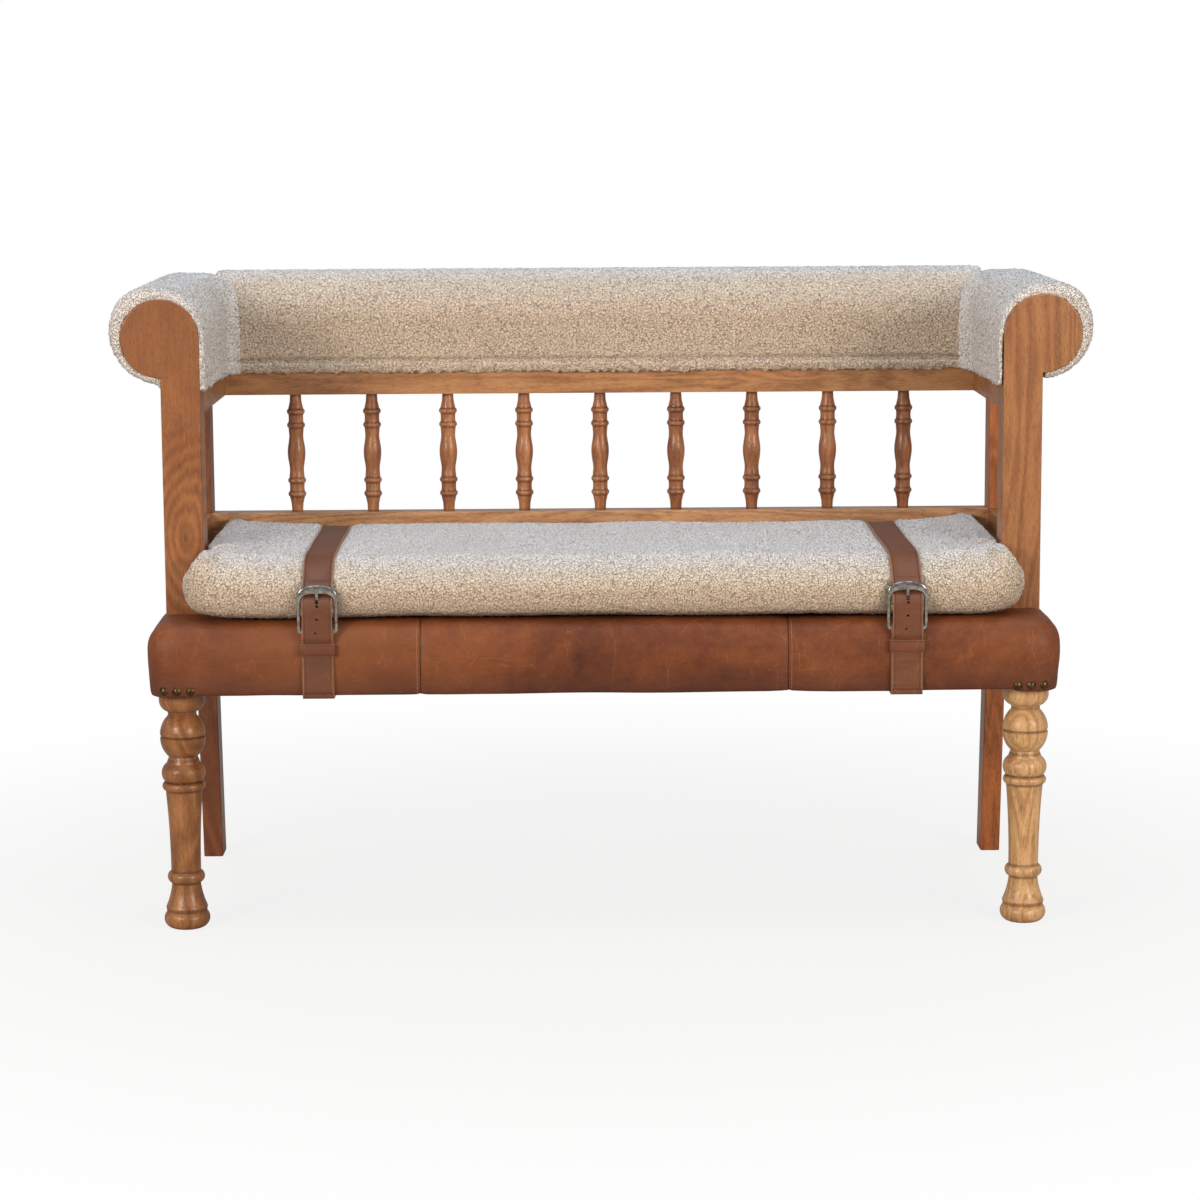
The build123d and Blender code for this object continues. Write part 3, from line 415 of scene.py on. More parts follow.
def wood_finish(
    name, along, tones, grooves=(), groove_half=0.003, mirror_height=None, varied=0.0, knot=None
):
    """Stained wood: grain along one axis or round a knot, open pores, and dark stain in turned grooves."""
    finish = Finish(name)
    dark, middle, light = [colour(*tone) for tone in tones]

    def drawn_out(share):
        """The point on the piece with the pattern drawn out along the grain."""
        return finish.place(scale=[share if axis == along else 1 for axis in "XYZ"])

    flow = finish.noise(drawn_out(0.16), 12, detail=3, rough=0.45, warp=0.5)
    phase = flow * 85
    if knot:
        across = finish.axis("X") - knot[0]
        upward = (finish.axis("Z") - knot[1]) * 0.42
        from_knot = finish.math("SQRT", across * across + upward * upward)
        phase = from_knot * 800 + flow * 40
    rings = finish.math("SINE", phase) * 0.5 + 0.5
    if knot:
        rings = 0.5 + (rings - 0.5) * (1 - finish.step(from_knot, 0.03, 0.075)) * 0.8
    blotches = finish.noise(drawn_out(0.45), 30, detail=4, rough=0.6)
    speckle = finish.noise(drawn_out(0.25), 560, detail=3, rough=0.7)
    fibres = finish.noise(drawn_out(0.05), 340, detail=4, rough=0.65)
    flecks = finish.noise(drawn_out(0.09), 800, detail=2)
    pores = finish.step(flecks, 0.55, 0.68)
    piece_tone = finish.noise(finish.place(scale=(1, 1, 0)), 27, detail=0) - 0.5
    grain = rings * 0.14 + blotches * 0.32 + fibres * 0.18 + speckle * 0.36 + piece_tone * varied
    tone = finish.ramp(grain, (0.33, dark), (0.50, middle), (0.67, light))
    if knot:
        tone = finish.mix(finish.band(from_knot, 0.0, 0.007) * 0.7, tone, colour(84, 46, 26))
        tone = finish.mix(finish.step(finish.axis("Z"), 0.62, 0.70) * 0.35, tone, dark)
    tone = finish.mix(pores * 0.42, tone, colour(92, 54, 32))
    height = finish.axis("Z")
    if mirror_height is not None:
        height = finish.math("ABSOLUTE", height - mirror_height)
    for groove in grooves:
        tone = finish.mix(finish.band(height, groove, groove_half) * 0.6, tone, colour(76, 42, 25))
    relief = finish.bump(fibres * 0.5 - pores, 0.0004, 0.45)
    return finish.surface(
        Base_Color=tone,
        Roughness=0.22 + fibres * 0.2,
        Specular_IOR_Level=0.5,
        Normal=relief,
    )


def raw_wood_finish(name, light, dark):
    """Planed wood that no one sees."""
    finish = Finish(name)
    grain = finish.noise(finish.place(scale=(0.2, 0.2, 1)), 90, detail=3)
    return finish.surface(Base_Color=finish.ramp(grain, (0.3, dark), (0.7, light)), Roughness=0.8)


def foam_finish():
    """Soft filling."""
    finish = Finish("foam")
    holes = finish.cells(finish.place(), 500)
    tone = finish.ramp(holes, (0.1, colour(214, 206, 176)), (0.6, colour(236, 230, 206)))
    return finish.surface(Base_Color=tone, Roughness=1.0, Normal=finish.bump(holes, 0.001))


def buckle_finish():
    """Nickel plate with dull, darker patches."""
    finish = Finish("buckle_metal")
    wear = finish.noise(finish.place(), 160, detail=4, rough=0.6)
    tone = finish.ramp(
        wear,
        (0.30, colour(116, 112, 108)),
        (0.55, colour(176, 172, 168)),
        (0.80, colour(212, 209, 206)),
    )
    return finish.surface(Base_Color=tone, Metallic=1.0, Roughness=0.12 + wear * 0.14)


def brass_finish():
    """Aged brass in darker brown and paler patches."""
    finish = Finish("nail_brass")
    wear = finish.noise(finish.place(), 160, detail=2)
    tone = finish.ramp(wear, (0.3, colour(62, 47, 30)), (0.7, colour(104, 81, 51)))
    return finish.surface(Base_Color=tone, Metallic=1.0, Roughness=0.30 + wear * 0.12)


def cloth_finish():
    """Black bonded cloth."""
    finish = Finish("black_cloth")
    fibres = finish.noise(finish.place(), 800, detail=3)
    tone = finish.ramp(fibres, (0.3, colour(16, 16, 17)), (0.7, colour(36, 35, 35)))
    return finish.surface(Base_Color=tone, Roughness=0.95, Normal=finish.bump(fibres, 0.0004, 0.6))


def steel_finish():
    """Zinc-plated bolts and screws."""
    finish = Finish("steel")
    wear = finish.noise(finish.place(), 300, detail=3)
    tone = finish.ramp(wear, (0.3, colour(130, 131, 134)), (0.7, colour(176, 177, 180)))
    return finish.surface(Base_Color=tone, Metallic=1.0, Roughness=0.3 + wear * 0.2)


# Mesh tools

def pick(piece):
    """Makes a piece the only one selected."""
    bpy.ops.object.select_all(action="DESELECT")
    piece.select_set(True)
    bpy.context.view_layer.objects.active = piece
    return piece


def settle(name):
    """Names the newest piece and puts its place into its mesh."""
    piece = bpy.context.object
    piece.name = name
    bpy.ops.object.transform_apply(location=True, rotation=True, scale=True)
    return piece


def box(name, low, high):
    """A block between two corners."""
    bpy.ops.object.select_all(action="DESELECT")
    low, high = Vector(low), Vector(high)
    bpy.ops.mesh.primitive_cube_add(size=1, location=(low + high) / 2, scale=high - low)
    return settle(name)


def drum(name, start, end, radius, sides=96):
    """A round bar between two points."""
    bpy.ops.object.select_all(action="DESELECT")
    start, end = Vector(start), Vector(end)
    turn = (end - start).to_track_quat("Z", "Y").to_euler()
    length = (end - start).length
    bpy.ops.mesh.primitive_cylinder_add(
        vertices=sides, radius=radius, depth=length, location=(start + end) / 2, rotation=turn
    )
    return settle(name)


def modify(piece, kind, **settings):
    """Adds a modifier and applies it."""
    pick(piece)
    modifier = piece.modifiers.new(kind.lower(), kind)
    for key, value in settings.items():
        setattr(modifier, key, value)
    bpy.ops.object.modifier_apply(modifier=modifier.name)
    return piece


def cut(piece, *cutters):
    """Takes other shapes out of a piece and deletes them."""
    for cutter in cutters:
        modify(piece, "BOOLEAN", operation="DIFFERENCE", object=cutter, solver="EXACT")
        bpy.data.objects.remove(cutter)
    return piece


def bevel_edges(piece, wanted, width, segments):
    """Rounds the edges whose two end points satisfy a test."""
    pick(piece)
    bpy.ops.object.mode_set(mode="EDIT")
    bpy.ops.mesh.select_mode(type="EDGE")
    bpy.ops.mesh.select_all(action="DESELECT")
    bpy.ops.object.mode_set(mode="OBJECT")
    points = piece.data.vertices
    for edge in piece.data.edges:
        edge.select = wanted(*[points[index].co for index in edge.vertices])
    bpy.ops.object.mode_set(mode="EDIT")
    bpy.ops.mesh.bevel(offset=width, segments=segments, affect="EDGES")
    bpy.ops.object.mode_set(mode="OBJECT")
    return piece


def points_of(piece):
    values = np.empty(len(piece.data.vertices) * 3)
    piece.data.vertices.foreach_get("co", values)
    return values.reshape(-1, 3)


def set_points(piece, points):
    piece.data.vertices.foreach_set("co", points.ravel())
    piece.data.update()


def normals_of(piece):
    values = np.empty(len(piece.data.vertices) * 3)
    piece.data.vertices.foreach_get("normal", values)
    return values.reshape(-1, 3)


def hill(distance, half_width):
    """A smooth bump: 1 at no distance, 0 from half a width on."""
    share = np.clip(1 - np.abs(distance) / half_width, 0, 1)
    return share * share * (3 - 2 * share)


def waves(points, scale):
    """Smooth noise from -1 to 1 at each point."""
    return np.array([noise.noise(Vector(point) * scale) for point in points])


def dress(piece, finish, body="bench", stands_for=()):
    """Gives a piece its finish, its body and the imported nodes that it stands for."""
    piece.data.materials.clear()
    for material in finish if isinstance(finish, tuple) else (finish,):
        piece.data.materials.append(material)
    pick(piece)
    bpy.ops.object.shade_smooth_by_angle(angle=radians(40))
    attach(piece, body)
    if stands_for:
        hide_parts(*stands_for)
    return piece


def set_mark(piece, name, values):
    """Stores a value at each point of a mesh for its finish."""
    mark = piece.data.attributes.new(name, "FLOAT", "POINT")
    mark.data.foreach_set("value", np.asarray(values, dtype=np.float32))


def tuft_texture():
    texture = bpy.data.textures.new("pile_tufts", "VORONOI")
    texture.noise_scale = TUFT_SIZE
    return texture


TUFTS = tuft_texture()


def raise_pile(piece, smooth_where=None, front_darkening=1.0, least_top_light=0.0):
    """Raises tufts all over a soft piece, except where something lies on it, and marks where its finish
    paints a bluish top light and a warm front shade.
    """
    normals = normals_of(piece)
    # painted light: the upward mark sets how much bluish top light the finish paints on, never less than
    # least_top_light
    set_mark(piece, "upward", np.clip((normals[:, 2] - 0.76) / 0.24, least_top_light, 1))
    # painted shade: faces turned down and to the front are marked for a warmer, darker tint, scaled by
    # front_darkening
    turned_from_top = np.clip((0.85 - normals[:, 2]) / 0.85, 0, 1) ** 1.5
    set_mark(piece, "forward", turned_from_top * np.clip(-normals[:, 1] / 0.5, 0, 1) * front_darkening)
    group = piece.vertex_groups.new(name="pile")
    free = np.ones(len(piece.data.vertices)) if smooth_where is None else 1 - smooth_where(points_of(piece))
    for index, weight in enumerate(free):
        group.add([index], float(weight), "REPLACE")
    modify(
        piece,
        "DISPLACE",
        texture=TUFTS,
        texture_coords="LOCAL",
        strength=-PILE_HEIGHT,
        mid_level=0.42,
        vertex_group="pile",
    )
    piece.vertex_groups.clear()
    return piece


# Padded rolls

def roll_body(name, drum_ends, radius, side_low, side_high, cutters, rounding=None):
    """A round roll with a straight inner side, cut to its neighbours and softened."""
    roll = drum(name, *drum_ends, radius)
    first, last = drum_ends[0][1], drum_ends[1][1]
    if rounding:
        bevel_edges(roll, lambda a, b: max(a.y, b.y) < first + 1e-4, rounding[0], 5)
        bevel_edges(roll, lambda a, b: min(a.y, b.y) > last - 1e-4, rounding[1], 8)
    flank = box(name + "_side", side_low, side_high)
    modify(roll, "BOOLEAN", operation="UNION", object=flank, solver="EXACT")
    bpy.data.objects.remove(flank)
    cut(roll, *cutters)
    modify(roll, "REMESH", mode="VOXEL", voxel_size=PILE_VOXEL)
    modify(roll, "SMOOTH", factor=0.5, iterations=4)
    modify(roll, "SUBSURF", levels=1, render_levels=1)
    return roll


def arm_room(side, front, back, gap):
    """The space that an arm's roll takes, as a cutter."""
    centre = Vector((side * (arm_roll_low.x + ARM_ROLL_RADIUS), 0, arm_roll_high.z - ARM_ROLL_RADIUS))
    start, end = centre.copy(), centre.copy()
    start.y, end.y = front, back
    room = drum("arm_room", start, end, ARM_ROLL_RADIUS + gap)
    inner = side * (arm_roll_low.x - gap)
    flank = box("arm_room_side", (inner, front, CUT_LOW), (side * post_high.x, back, centre.z))
    modify(room, "BOOLEAN", operation="UNION", object=flank, solver="EXACT")
    bpy.data.objects.remove(flank)
    return room


def hem(points, wall, side_of):
    """A sewn line above the lower edge of a roll's inner side, and a ragged edge of pile below it."""
    seam = arm_roll_low.z + HEM_SEAM_RISE
    on_wall = hill(side_of(points) - wall, HEM_WALL)
    groove = hill(points[:, 2] - seam, HEM_SEAM_HALF) * on_wall
    low = hill(points[:, 2] - arm_roll_low.z, HEM_EDGE) * on_wall
    flattened = points * (1, 1, 0.2)
    ragged = waves(flattened, 170) * 0.0055 + waves(flattened, 60) * 0.0020
    return groove, low * ragged


def near_back_roll(points):
    """1 where an arm's roll meets the face of the back's roll, falling to 0 before and behind it."""
    above = np.clip(points[:, 2] - back_roll_high.z + BACK_ROLL_RADIUS, 0, BACK_ROLL_RADIUS)
    face = back_roll_low.y + BACK_ROLL_RADIUS - np.sqrt(BACK_ROLL_RADIUS ** 2 - above ** 2)
    return np.clip(1 - np.abs(points[:, 1] - face) / CORNER_REACH, 0, 1)


def make_back_roll(finish):
    radius = BACK_ROLL_RADIUS
    centre_y = back_roll_high.y - radius
    centre_z = back_roll_high.z - radius
    half = back_roll_high.x - ROLL_END_GAP
    rail_low = (-1, upper_rail_low.y - SKIN, CUT_LOW)
    roll = roll_body(
        "back_roll",
        ((-half, centre_y, centre_z), (half, centre_y, centre_z)),
        radius,
        (-half, back_roll_low.y, back_roll_low.z),
        (half, upper_rail_high.y, centre_z),
        [
            box("rail_room", rail_low, (1, upper_rail_high.y, upper_rail_high.z)),
            arm_room(-1, post_low.y, CUT_BACK, -ARM_OVERLAP),
            arm_room(1, post_low.y, CUT_BACK, -ARM_OVERLAP),
        ],
    )
    points = points_of(roll)
    groove, ragged = hem(points, back_roll_low.y, lambda p: p[:, 1])
    points[:, 1] += groove * HEM_SEAM_DEPTH
    points[:, 2] += ragged
    set_points(roll, points)
    raise_pile(roll)
    return dress(roll, finish, stands_for=("back_roll_cover", "back_roll_padding"))


def make_arm_roll(name, side, finish):
    radius = ARM_ROLL_RADIUS
    centre_x = side * (arm_roll_low.x + radius)
    centre_z = arm_roll_high.z - radius
    front, back = arm_roll_low.y, arm_roll_high.y
    before = front - CUT_SPARE
    disc_x = side * arm_rail_high.x
    disc_z = post_high.z - DISC_RADIUS
    rail_in = side * (arm_rail_low.x - SKIN)
    rail_out = side * (arm_rail_high.x + SKIN)
    disc_end = (disc_x, post_high.y, disc_z)
    disc = drum("disc_room", (disc_x, before, disc_z), disc_end, DISC_RADIUS - DISC_LAP)
    stem = box("stem_room", (rail_in, before, CUT_LOW), (rail_out, post_high.y, disc_z))
    rail_high = (disc_x, upper_rail_high.y, arm_rail_high.z)
    rail = box("rail_room", (rail_in, front, CUT_LOW), rail_high)
    back_low = (side * arm_roll_low.x * 0.9, upper_rail_low.y, CUT_LOW)
    back_high = (rail_out, upper_rail_high.y + SKIN, arm_rail_high.z)
    back_rail = box("back_rail_room", back_low, back_high)
    roll = roll_body(
        f"arm_roll_{name}",
        ((centre_x, front, centre_z), (centre_x, back, centre_z)),
        radius,
        (side * arm_roll_low.x, front, arm_roll_low.z),
        (side * arm_rail_high.x, back - ARM_OVERLAP, centre_z),
        [disc, stem, rail, back_rail],
        rounding=(ARM_FRONT_ROUND, ARM_REAR_ROUND),
    )
    points = points_of(roll)
    groove, ragged = hem(points, arm_roll_low.x, lambda p: p[:, 0] * side)
    points[:, 0] += side * groove * ARM_SEAM_DEPTH
    inward = (centre_x - points[:, 0]) * side
    upward = points[:, 2] - centre_z
    shell = np.clip((np.hypot(inward, upward) / radius - 0.8) / 0.2, 0, 1)
    corner = hill(np.arctan2(upward, inward) - pi / 4, pi / 4) * shell
    outer_top = hill(np.arctan2(upward, inward) - 3 * pi / 4, pi / 4) * shell
    outward = np.clip(-inward / radius, 0, 1) ** 0.7 * shell
    backward = np.clip((points[:, 1] - front) / (upper_rail_low.y - front), 0, 1)
    points[:, 0] -= side * corner * backward * ARM_CORNER_PUSH
    points[:, 2] += corner * backward * ARM_CORNER_LIFT
    points[:, 2] += backward * np.clip(upward / radius, 0, 1) * ARM_LIFTS[name]
    points[:, 2] += outward * ARM_OUTER_LIFT + outer_top * ARM_SHOULDER_LIFT + ragged
    points[:, 0] += side * outer_top * ARM_SHOULDER_PUSH
    facing_in = np.clip(inward / radius, 0, 1)
    points[:, 0] -= side * CORNER_FILL * near_back_roll(points) ** 2 * facing_in
    set_points(roll, points)
    raise_pile(roll, front_darkening=0.0, least_top_light=ARM_TOP_LIGHT)
    stands_for = (f"arm_roll_cover_{name}", f"arm_roll_padding_{name}")
    return dress(roll, finish, stands_for=stands_for)


# Cushion

def belt_centre(name):
    low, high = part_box(f"belt_strap_{name}")
    return (low.x + high.x) / 2


BELTS = {name: belt_centre(name) for name in SIDES}


def inflate(piece, cap):
    """Swells a closed cloth with air, and holds each point within a cap of where it was."""
    start = points_of(piece)
    pick(piece)
    cloth = piece.modifiers.new("air", "CLOTH")
    cloth.settings.use_pressure = True
    cloth.settings.uniform_pressure_force = 4
    cloth.settings.effector_weights.gravity = 0
    cloth.point_cache.frame_end = 20
    for number in range(1, 21):
        scene.frame_set(number)
    bpy.ops.object.modifier_apply(modifier=cloth.name)
    scene.frame_set(1)
    step = points_of(piece) - start
    length = np.linalg.norm(step, axis=1, keepdims=True)
    set_points(piece, start + step * np.minimum(1, cap / np.maximum(length, 1e-9)))


def under_belts(points):
    """1 under a belt, falling to 0 beside it."""
    beside = [np.abs(points[:, 0] - x) - 0.4 * STRAP_WIDTH for x in BELTS.values()]
    under = np.maximum(*[hill(np.maximum(away, 0), DENT_SIDE) for away in beside])
    return under * (points[:, 2] > cushion_low.z + 0.012)


# By distance from the cushion's end: how far its top is lifted, and how high it may stand
END_LIFT = ((0.0, 0.006), (0.008, 0.026), (0.028, 0.024), (0.047, 0.006), (0.11, 0.0))
END_TOP = ((0.0, 0.036), (0.005, 0.054), (0.013, 0.070), (0.023, 0.0805), (0.042, 0.0825), (0.07, 0.079))


def plump(points):
    """Fills the cushion out behind its ears, flat against the posts and the back rail."""
    upper = np.clip((points[:, 2] - cushion_low.z - CUSHION_WAIST) / CUSHION_WAIST, 0, 1)
    behind = np.clip((points[:, 1] - post_low.y) / 0.05, 0, 1)
    rear = np.clip((points[:, 1] - 0.03) / 0.08, 0, 1)
    beside_post = points[:, 1] > post_low.y - 0.003
    wall = np.where(beside_post, post_low.x - POST_CLEARANCE, cushion_high.x)
    full = points.copy()
    stretch = 1 + (END_STRETCH + END_STRETCH_BEHIND * behind) * upper
    full[:, 0] = np.clip(points[:, 0] * stretch, -wall, wall)
    full[:, 1] = np.minimum(points[:, 1] + REAR_PUSH * upper * rear, cushion_high.y)
    from_end = cushion_high.x - np.abs(full[:, 0])
    rear_lift = REAR_LIFT * hill(points[:, 1] - cushion_high.y, 0.08)
    lift = np.interp(from_end, *zip(*END_LIFT)) + rear_lift
    top = cushion_low.z + np.interp(from_end, *zip(*END_TOP))
    full[:, 2] = np.minimum(points[:, 2] + lift * upper, np.maximum(top, points[:, 2]))
    return full


def make_cushion(finish):
    cushion = bpy.data.objects.new("seat_cushion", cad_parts["cushion_filling"].data.copy())
    scene.collection.objects.link(cushion)
    pick(cushion)
    bpy.ops.object.mode_set(mode="EDIT")
    bpy.ops.mesh.select_all(action="SELECT")
    bpy.ops.mesh.remove_doubles(threshold=1e-5)
    bpy.ops.object.mode_set(mode="OBJECT")
    modify(cushion, "REMESH", mode="VOXEL", voxel_size=CUSHION_VOXEL)
    modify(cushion, "SMOOTH", factor=0.5, iterations=2)
    inflate(cushion, cap=CUSHION_SWELL)
    modify(cushion, "SUBSURF", levels=1, render_levels=1)
    points = points_of(cushion)
    low, high = points.min(axis=0), points.max(axis=0)
    room_low, room_high = np.array(cushion_low), np.array(cushion_high)
    points = room_low + (points - low) / (high - low) * (room_high - room_low)
    set_points(cushion, plump(points))
    points = points_of(cushion)
    points += normals_of(cushion) * (waves(points, 9) * CUSHION_UNEVEN)[:, None]
    points -= normals_of(cushion) * (under_belts(points) * STRAP_DENT)[:, None]
    points[:, 2] = np.maximum(points[:, 2], cushion_low.z + CUSHION_REST)
    set_points(cushion, points)
    raise_pile(cushion, under_belts)
    points = points_of(cushion)
    points[:, 2] = np.maximum(points[:, 2], cushion_low.z)
    set_points(cushion, points)
    return dress(cushion, finish, stands_for=("cushion_cover", "cushion_filling"))


# Leather seat

def make_panel(name, start, end, finish, stands_for):
    """One panel of the seat's leather over its padding, between two places along X."""
    back = rear_post_low.y - SKIN
    panel = seat_block(f"leather_{name}", back)
    for place, outward in ((start, -1), (end, 1)):
        if abs(place) < end_high.x:
            trim(panel, place, outward)
    shape_leather(panel, [place for place in (start, end) if abs(place) < end_high.x])
    return dress(panel, finish, stands_for=stands_for)


def seat_block(name, back):
    """The whole upholstered seat: a rounded box, narrower between the rear posts."""
    block = box(name, (-end_high.x, end_low.y, end_low.z), (end_high.x, back, end_high.z))
    bevel_edges(block, lambda a, b: a.z != b.z and a.y == b.y < 0, SEAT_CORNER, 8)
    on_top = end_high.z - 1e-5
    bevel_edges(block, lambda a, b: min(a.z, b.z) > on_top and min(a.y, b.y) < back - 1e-4, SEAT_EDGE, 8)
    inner = rear_post_low.x - SKIN
    tail = box("seat_tail", (-inner, back - 0.02, end_low.z), (inner, end_high.y, end_high.z))
    modify(block, "BOOLEAN", operation="UNION", object=tail, solver="EXACT")
    bpy.data.objects.remove(tail)
    modify(block, "REMESH", mode="VOXEL", voxel_size=LEATHER_VOXEL)
    return modify(block, "SMOOTH", factor=0.5, iterations=5)


def trim(piece, place, outward):
    """Cuts a piece straight across at a place along X and closes the cut."""
    pick(piece)
    bpy.ops.object.mode_set(mode="EDIT")
    bpy.ops.mesh.select_all(action="SELECT")
    bpy.ops.mesh.bisect(plane_co=(place, 0, 0), plane_no=(outward, 0, 0), use_fill=True, clear_outer=True)
    bpy.ops.object.mode_set(mode="OBJECT")


def shape_leather(panel, seams):
    """Fills the front out a little, draws it in along the seams and lower edge, and adds slack folds."""
    points = points_of(panel)
    normals = normals_of(panel)
    middle = (end_low.z + end_high.z) / 2
    bulge = hill(points[:, 2] - middle, 0.05) * SEAT_BULGE
    folds = waves(points * (0.5, 1, 1.6), 24) * FOLD_HEIGHT + waves(points, 7) * SLACK_HEIGHT
    upright = 1 - np.abs(normals[:, 2])
    from_seam = np.min([np.abs(points[:, 0] - seam) for seam in seams], axis=0)
    drawn_in = hill(from_seam, 0.006) * SEAM_PINCH + hill(from_seam, 0.03) * SEAM_DRAW
    move = bulge * upright + folds - drawn_in
    step = normals * move[:, None]
    step[from_seam < 1e-5, 0] = 0
    points += step
    points[:, 2] = np.clip(points[:, 2], end_low.z, end_high.z)
    at_corner = np.clip((np.abs(points[:, 0]) - FLAP_START) / 0.006, 0, 1)
    flap = hill(points[:, 2] - end_low.z, FLAP_EDGE) * at_corner
    points[:, 2] -= flap * (points[:, 1] < end_low.y + 0.05) * FLAP_DROP
    set_points(panel, points)


# Belts

def ribbon(name, route, width, centre):
    """A strip whose middle follows a route of (y, z) points, widened along X."""
    curve = bpy.data.curves.new(name, "CURVE")
    curve.dimensions = "3D"
    curve.resolution_u = 6
    spline = curve.splines.new("NURBS")
    spline.points.add(len(route) - 1)
    for point, (y, z) in zip(spline.points, route):
        point.co = (centre - width / 2, y, z, 1)
    spline.order_u = 3
    spline.use_endpoint_u = True
    holder = bpy.data.objects.new(name + "_route", curve)
    mesh = bpy.data.meshes.new_from_object(holder)
    strip = bpy.data.objects.new(name, mesh)
    scene.collection.objects.link(strip)
    bpy.data.objects.remove(holder)
    pick(strip)
    bpy.ops.object.mode_set(mode="EDIT")
    bpy.ops.mesh.select_mode(type="EDGE")
    bpy.ops.mesh.select_all(action="SELECT")
    for _ in range(RIBBON_STEPS):
        step = {"value": (width / RIBBON_STEPS, 0, 0)}
        bpy.ops.mesh.extrude_region_move(TRANSFORM_OT_translate=step)
    bpy.ops.mesh.select_all(action="SELECT")
    bpy.ops.mesh.normals_make_consistent(inside=False)
    bpy.ops.object.mode_set(mode="OBJECT")
    set_mark(strip, "across", (points_of(strip)[:, 0] - centre) / width)
    return strip


def thicken(strip, thickness):
    """Gives a strip its thickness, with its cut edges in a second finish."""
    strip.data.materials.append(None)
    strip.data.materials.append(None)
    modify(strip, "SOLIDIFY", thickness=thickness, offset=0, material_offset_rim=1)
    modify(strip, "BEVEL", width=0.0005, segments=2, limit_method="ANGLE", angle_limit=radians(50))
    return strip


def make_strap(name, finish, edge, cushion):
    """The long strap: over the cushion, behind the buckle's top bar, over its heel and down to its tip."""
    frame_low, frame_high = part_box(f"buckle_frame_{name}")
    strap_low, strap_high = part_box(f"belt_strap_{name}")
    keeper_low, keeper_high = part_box(f"belt_keeper_{name}")
    half = STRAP_THICKNESS / 2
    front = strap_low.y + half
    tail = keeper_low.y + KEEPER_ROOM + half
    behind_bar = frame_high.y + SKIN + half
    bar_low = frame_high.z - TOP_BAR
    back = strap_high.y - half
    under = strap_low.z + half
    over_seat = end_high.z + SKIN + half
    rear = cushion_high.y + 0.003
    top = cushion_high.z + 0.003
    route = [
        (back - 0.034, under),
        (back - 0.006, under),
        (back, under),
        (back, under + 0.006),
        (back, over_seat - 0.008),
        (back, over_seat),
        (back - 0.010, over_seat),
        (rear + 0.012, over_seat),
        (rear + 0.004, over_seat),
        (rear + 0.003, over_seat + 0.010),
        (rear, top - 0.030),
        (rear - 0.006, top - 0.006),
        (rear - 0.040, top),
        (0, top),
        (cushion_low.y + 0.075, top),
        (cushion_low.y + 0.026, top - 0.002),
        (cushion_low.y + 0.004, top - 0.016),
        (behind_bar, frame_high.z + 0.004),
        (behind_bar, bar_low),
        (behind_bar, bar_low - 0.003),
        (front - PRONG_ROOM, bar_low - 0.010),
        (front - PRONG_ROOM, bar_low - 0.018),
        (front, frame_low.z),
        (front, frame_low.z - 0.006),
        (tail, keeper_high.z + 0.002),
        (tail, keeper_high.z - 0.006),
        (tail, strap_low.z + 0.03),
        (tail - 0.0006, end_low.z + TIP_RISE),
    ]
    strap = ribbon(f"strap_{name}", route, STRAP_WIDTH, BELTS[name])
    lay_on_cushion(strap, cushion, half)
    thicken(strap, STRAP_THICKNESS)
    far = strap_low.y - CUT_SPARE
    near = end_low.y
    centre = BELTS[name]
    slot_width, slot_height = PRONG_SLOT
    slot_top = bar_low - PRONG_SLOT_DROP
    slot_low = (centre - slot_width / 2, far, slot_top - slot_height)
    slot_high = (centre + slot_width / 2, near + CUT_SPARE, slot_top)
    cutters = [box("prong_room", slot_low, slot_high)]
    for drop, shift in zip(HOLE_DROPS, HOLE_SHIFTS):
        start = (centre + shift, far, bar_low - drop)
        cutters.append(drum("hole", start, (centre + shift, near, bar_low - drop), HOLE_RADIUS, 24))
    cut(strap, *cutters)
    return dress(strap, (finish, edge), stands_for=(f"belt_strap_{name}",))


def lay_on_cushion(strap, cushion, gap):
    """Presses the part of a strap that crosses the cushion on to it."""
    points = points_of(strap)
    over = np.clip((points[:, 2] - cushion_high.z + 0.034) / 0.014, 0, 1)
    group = strap.vertex_groups.new(name="over_cushion")
    for index, weight in enumerate(over):
        group.add([index], float(weight), "REPLACE")
    modify(
        strap,
        "SHRINKWRAP",
        target=cushion,
        wrap_method="NEAREST_SURFACEPOINT",
        wrap_mode="OUTSIDE_SURFACE",
        offset=gap,
        vertex_group="over_cushion",
    )
    modify(strap, "SMOOTH", factor=0.5, iterations=6, vertex_group="over_cushion")
    strap.vertex_groups.clear()
    laid = points_of(strap)
    laid[:, 0] = points[:, 0]
    set_points(strap, laid)


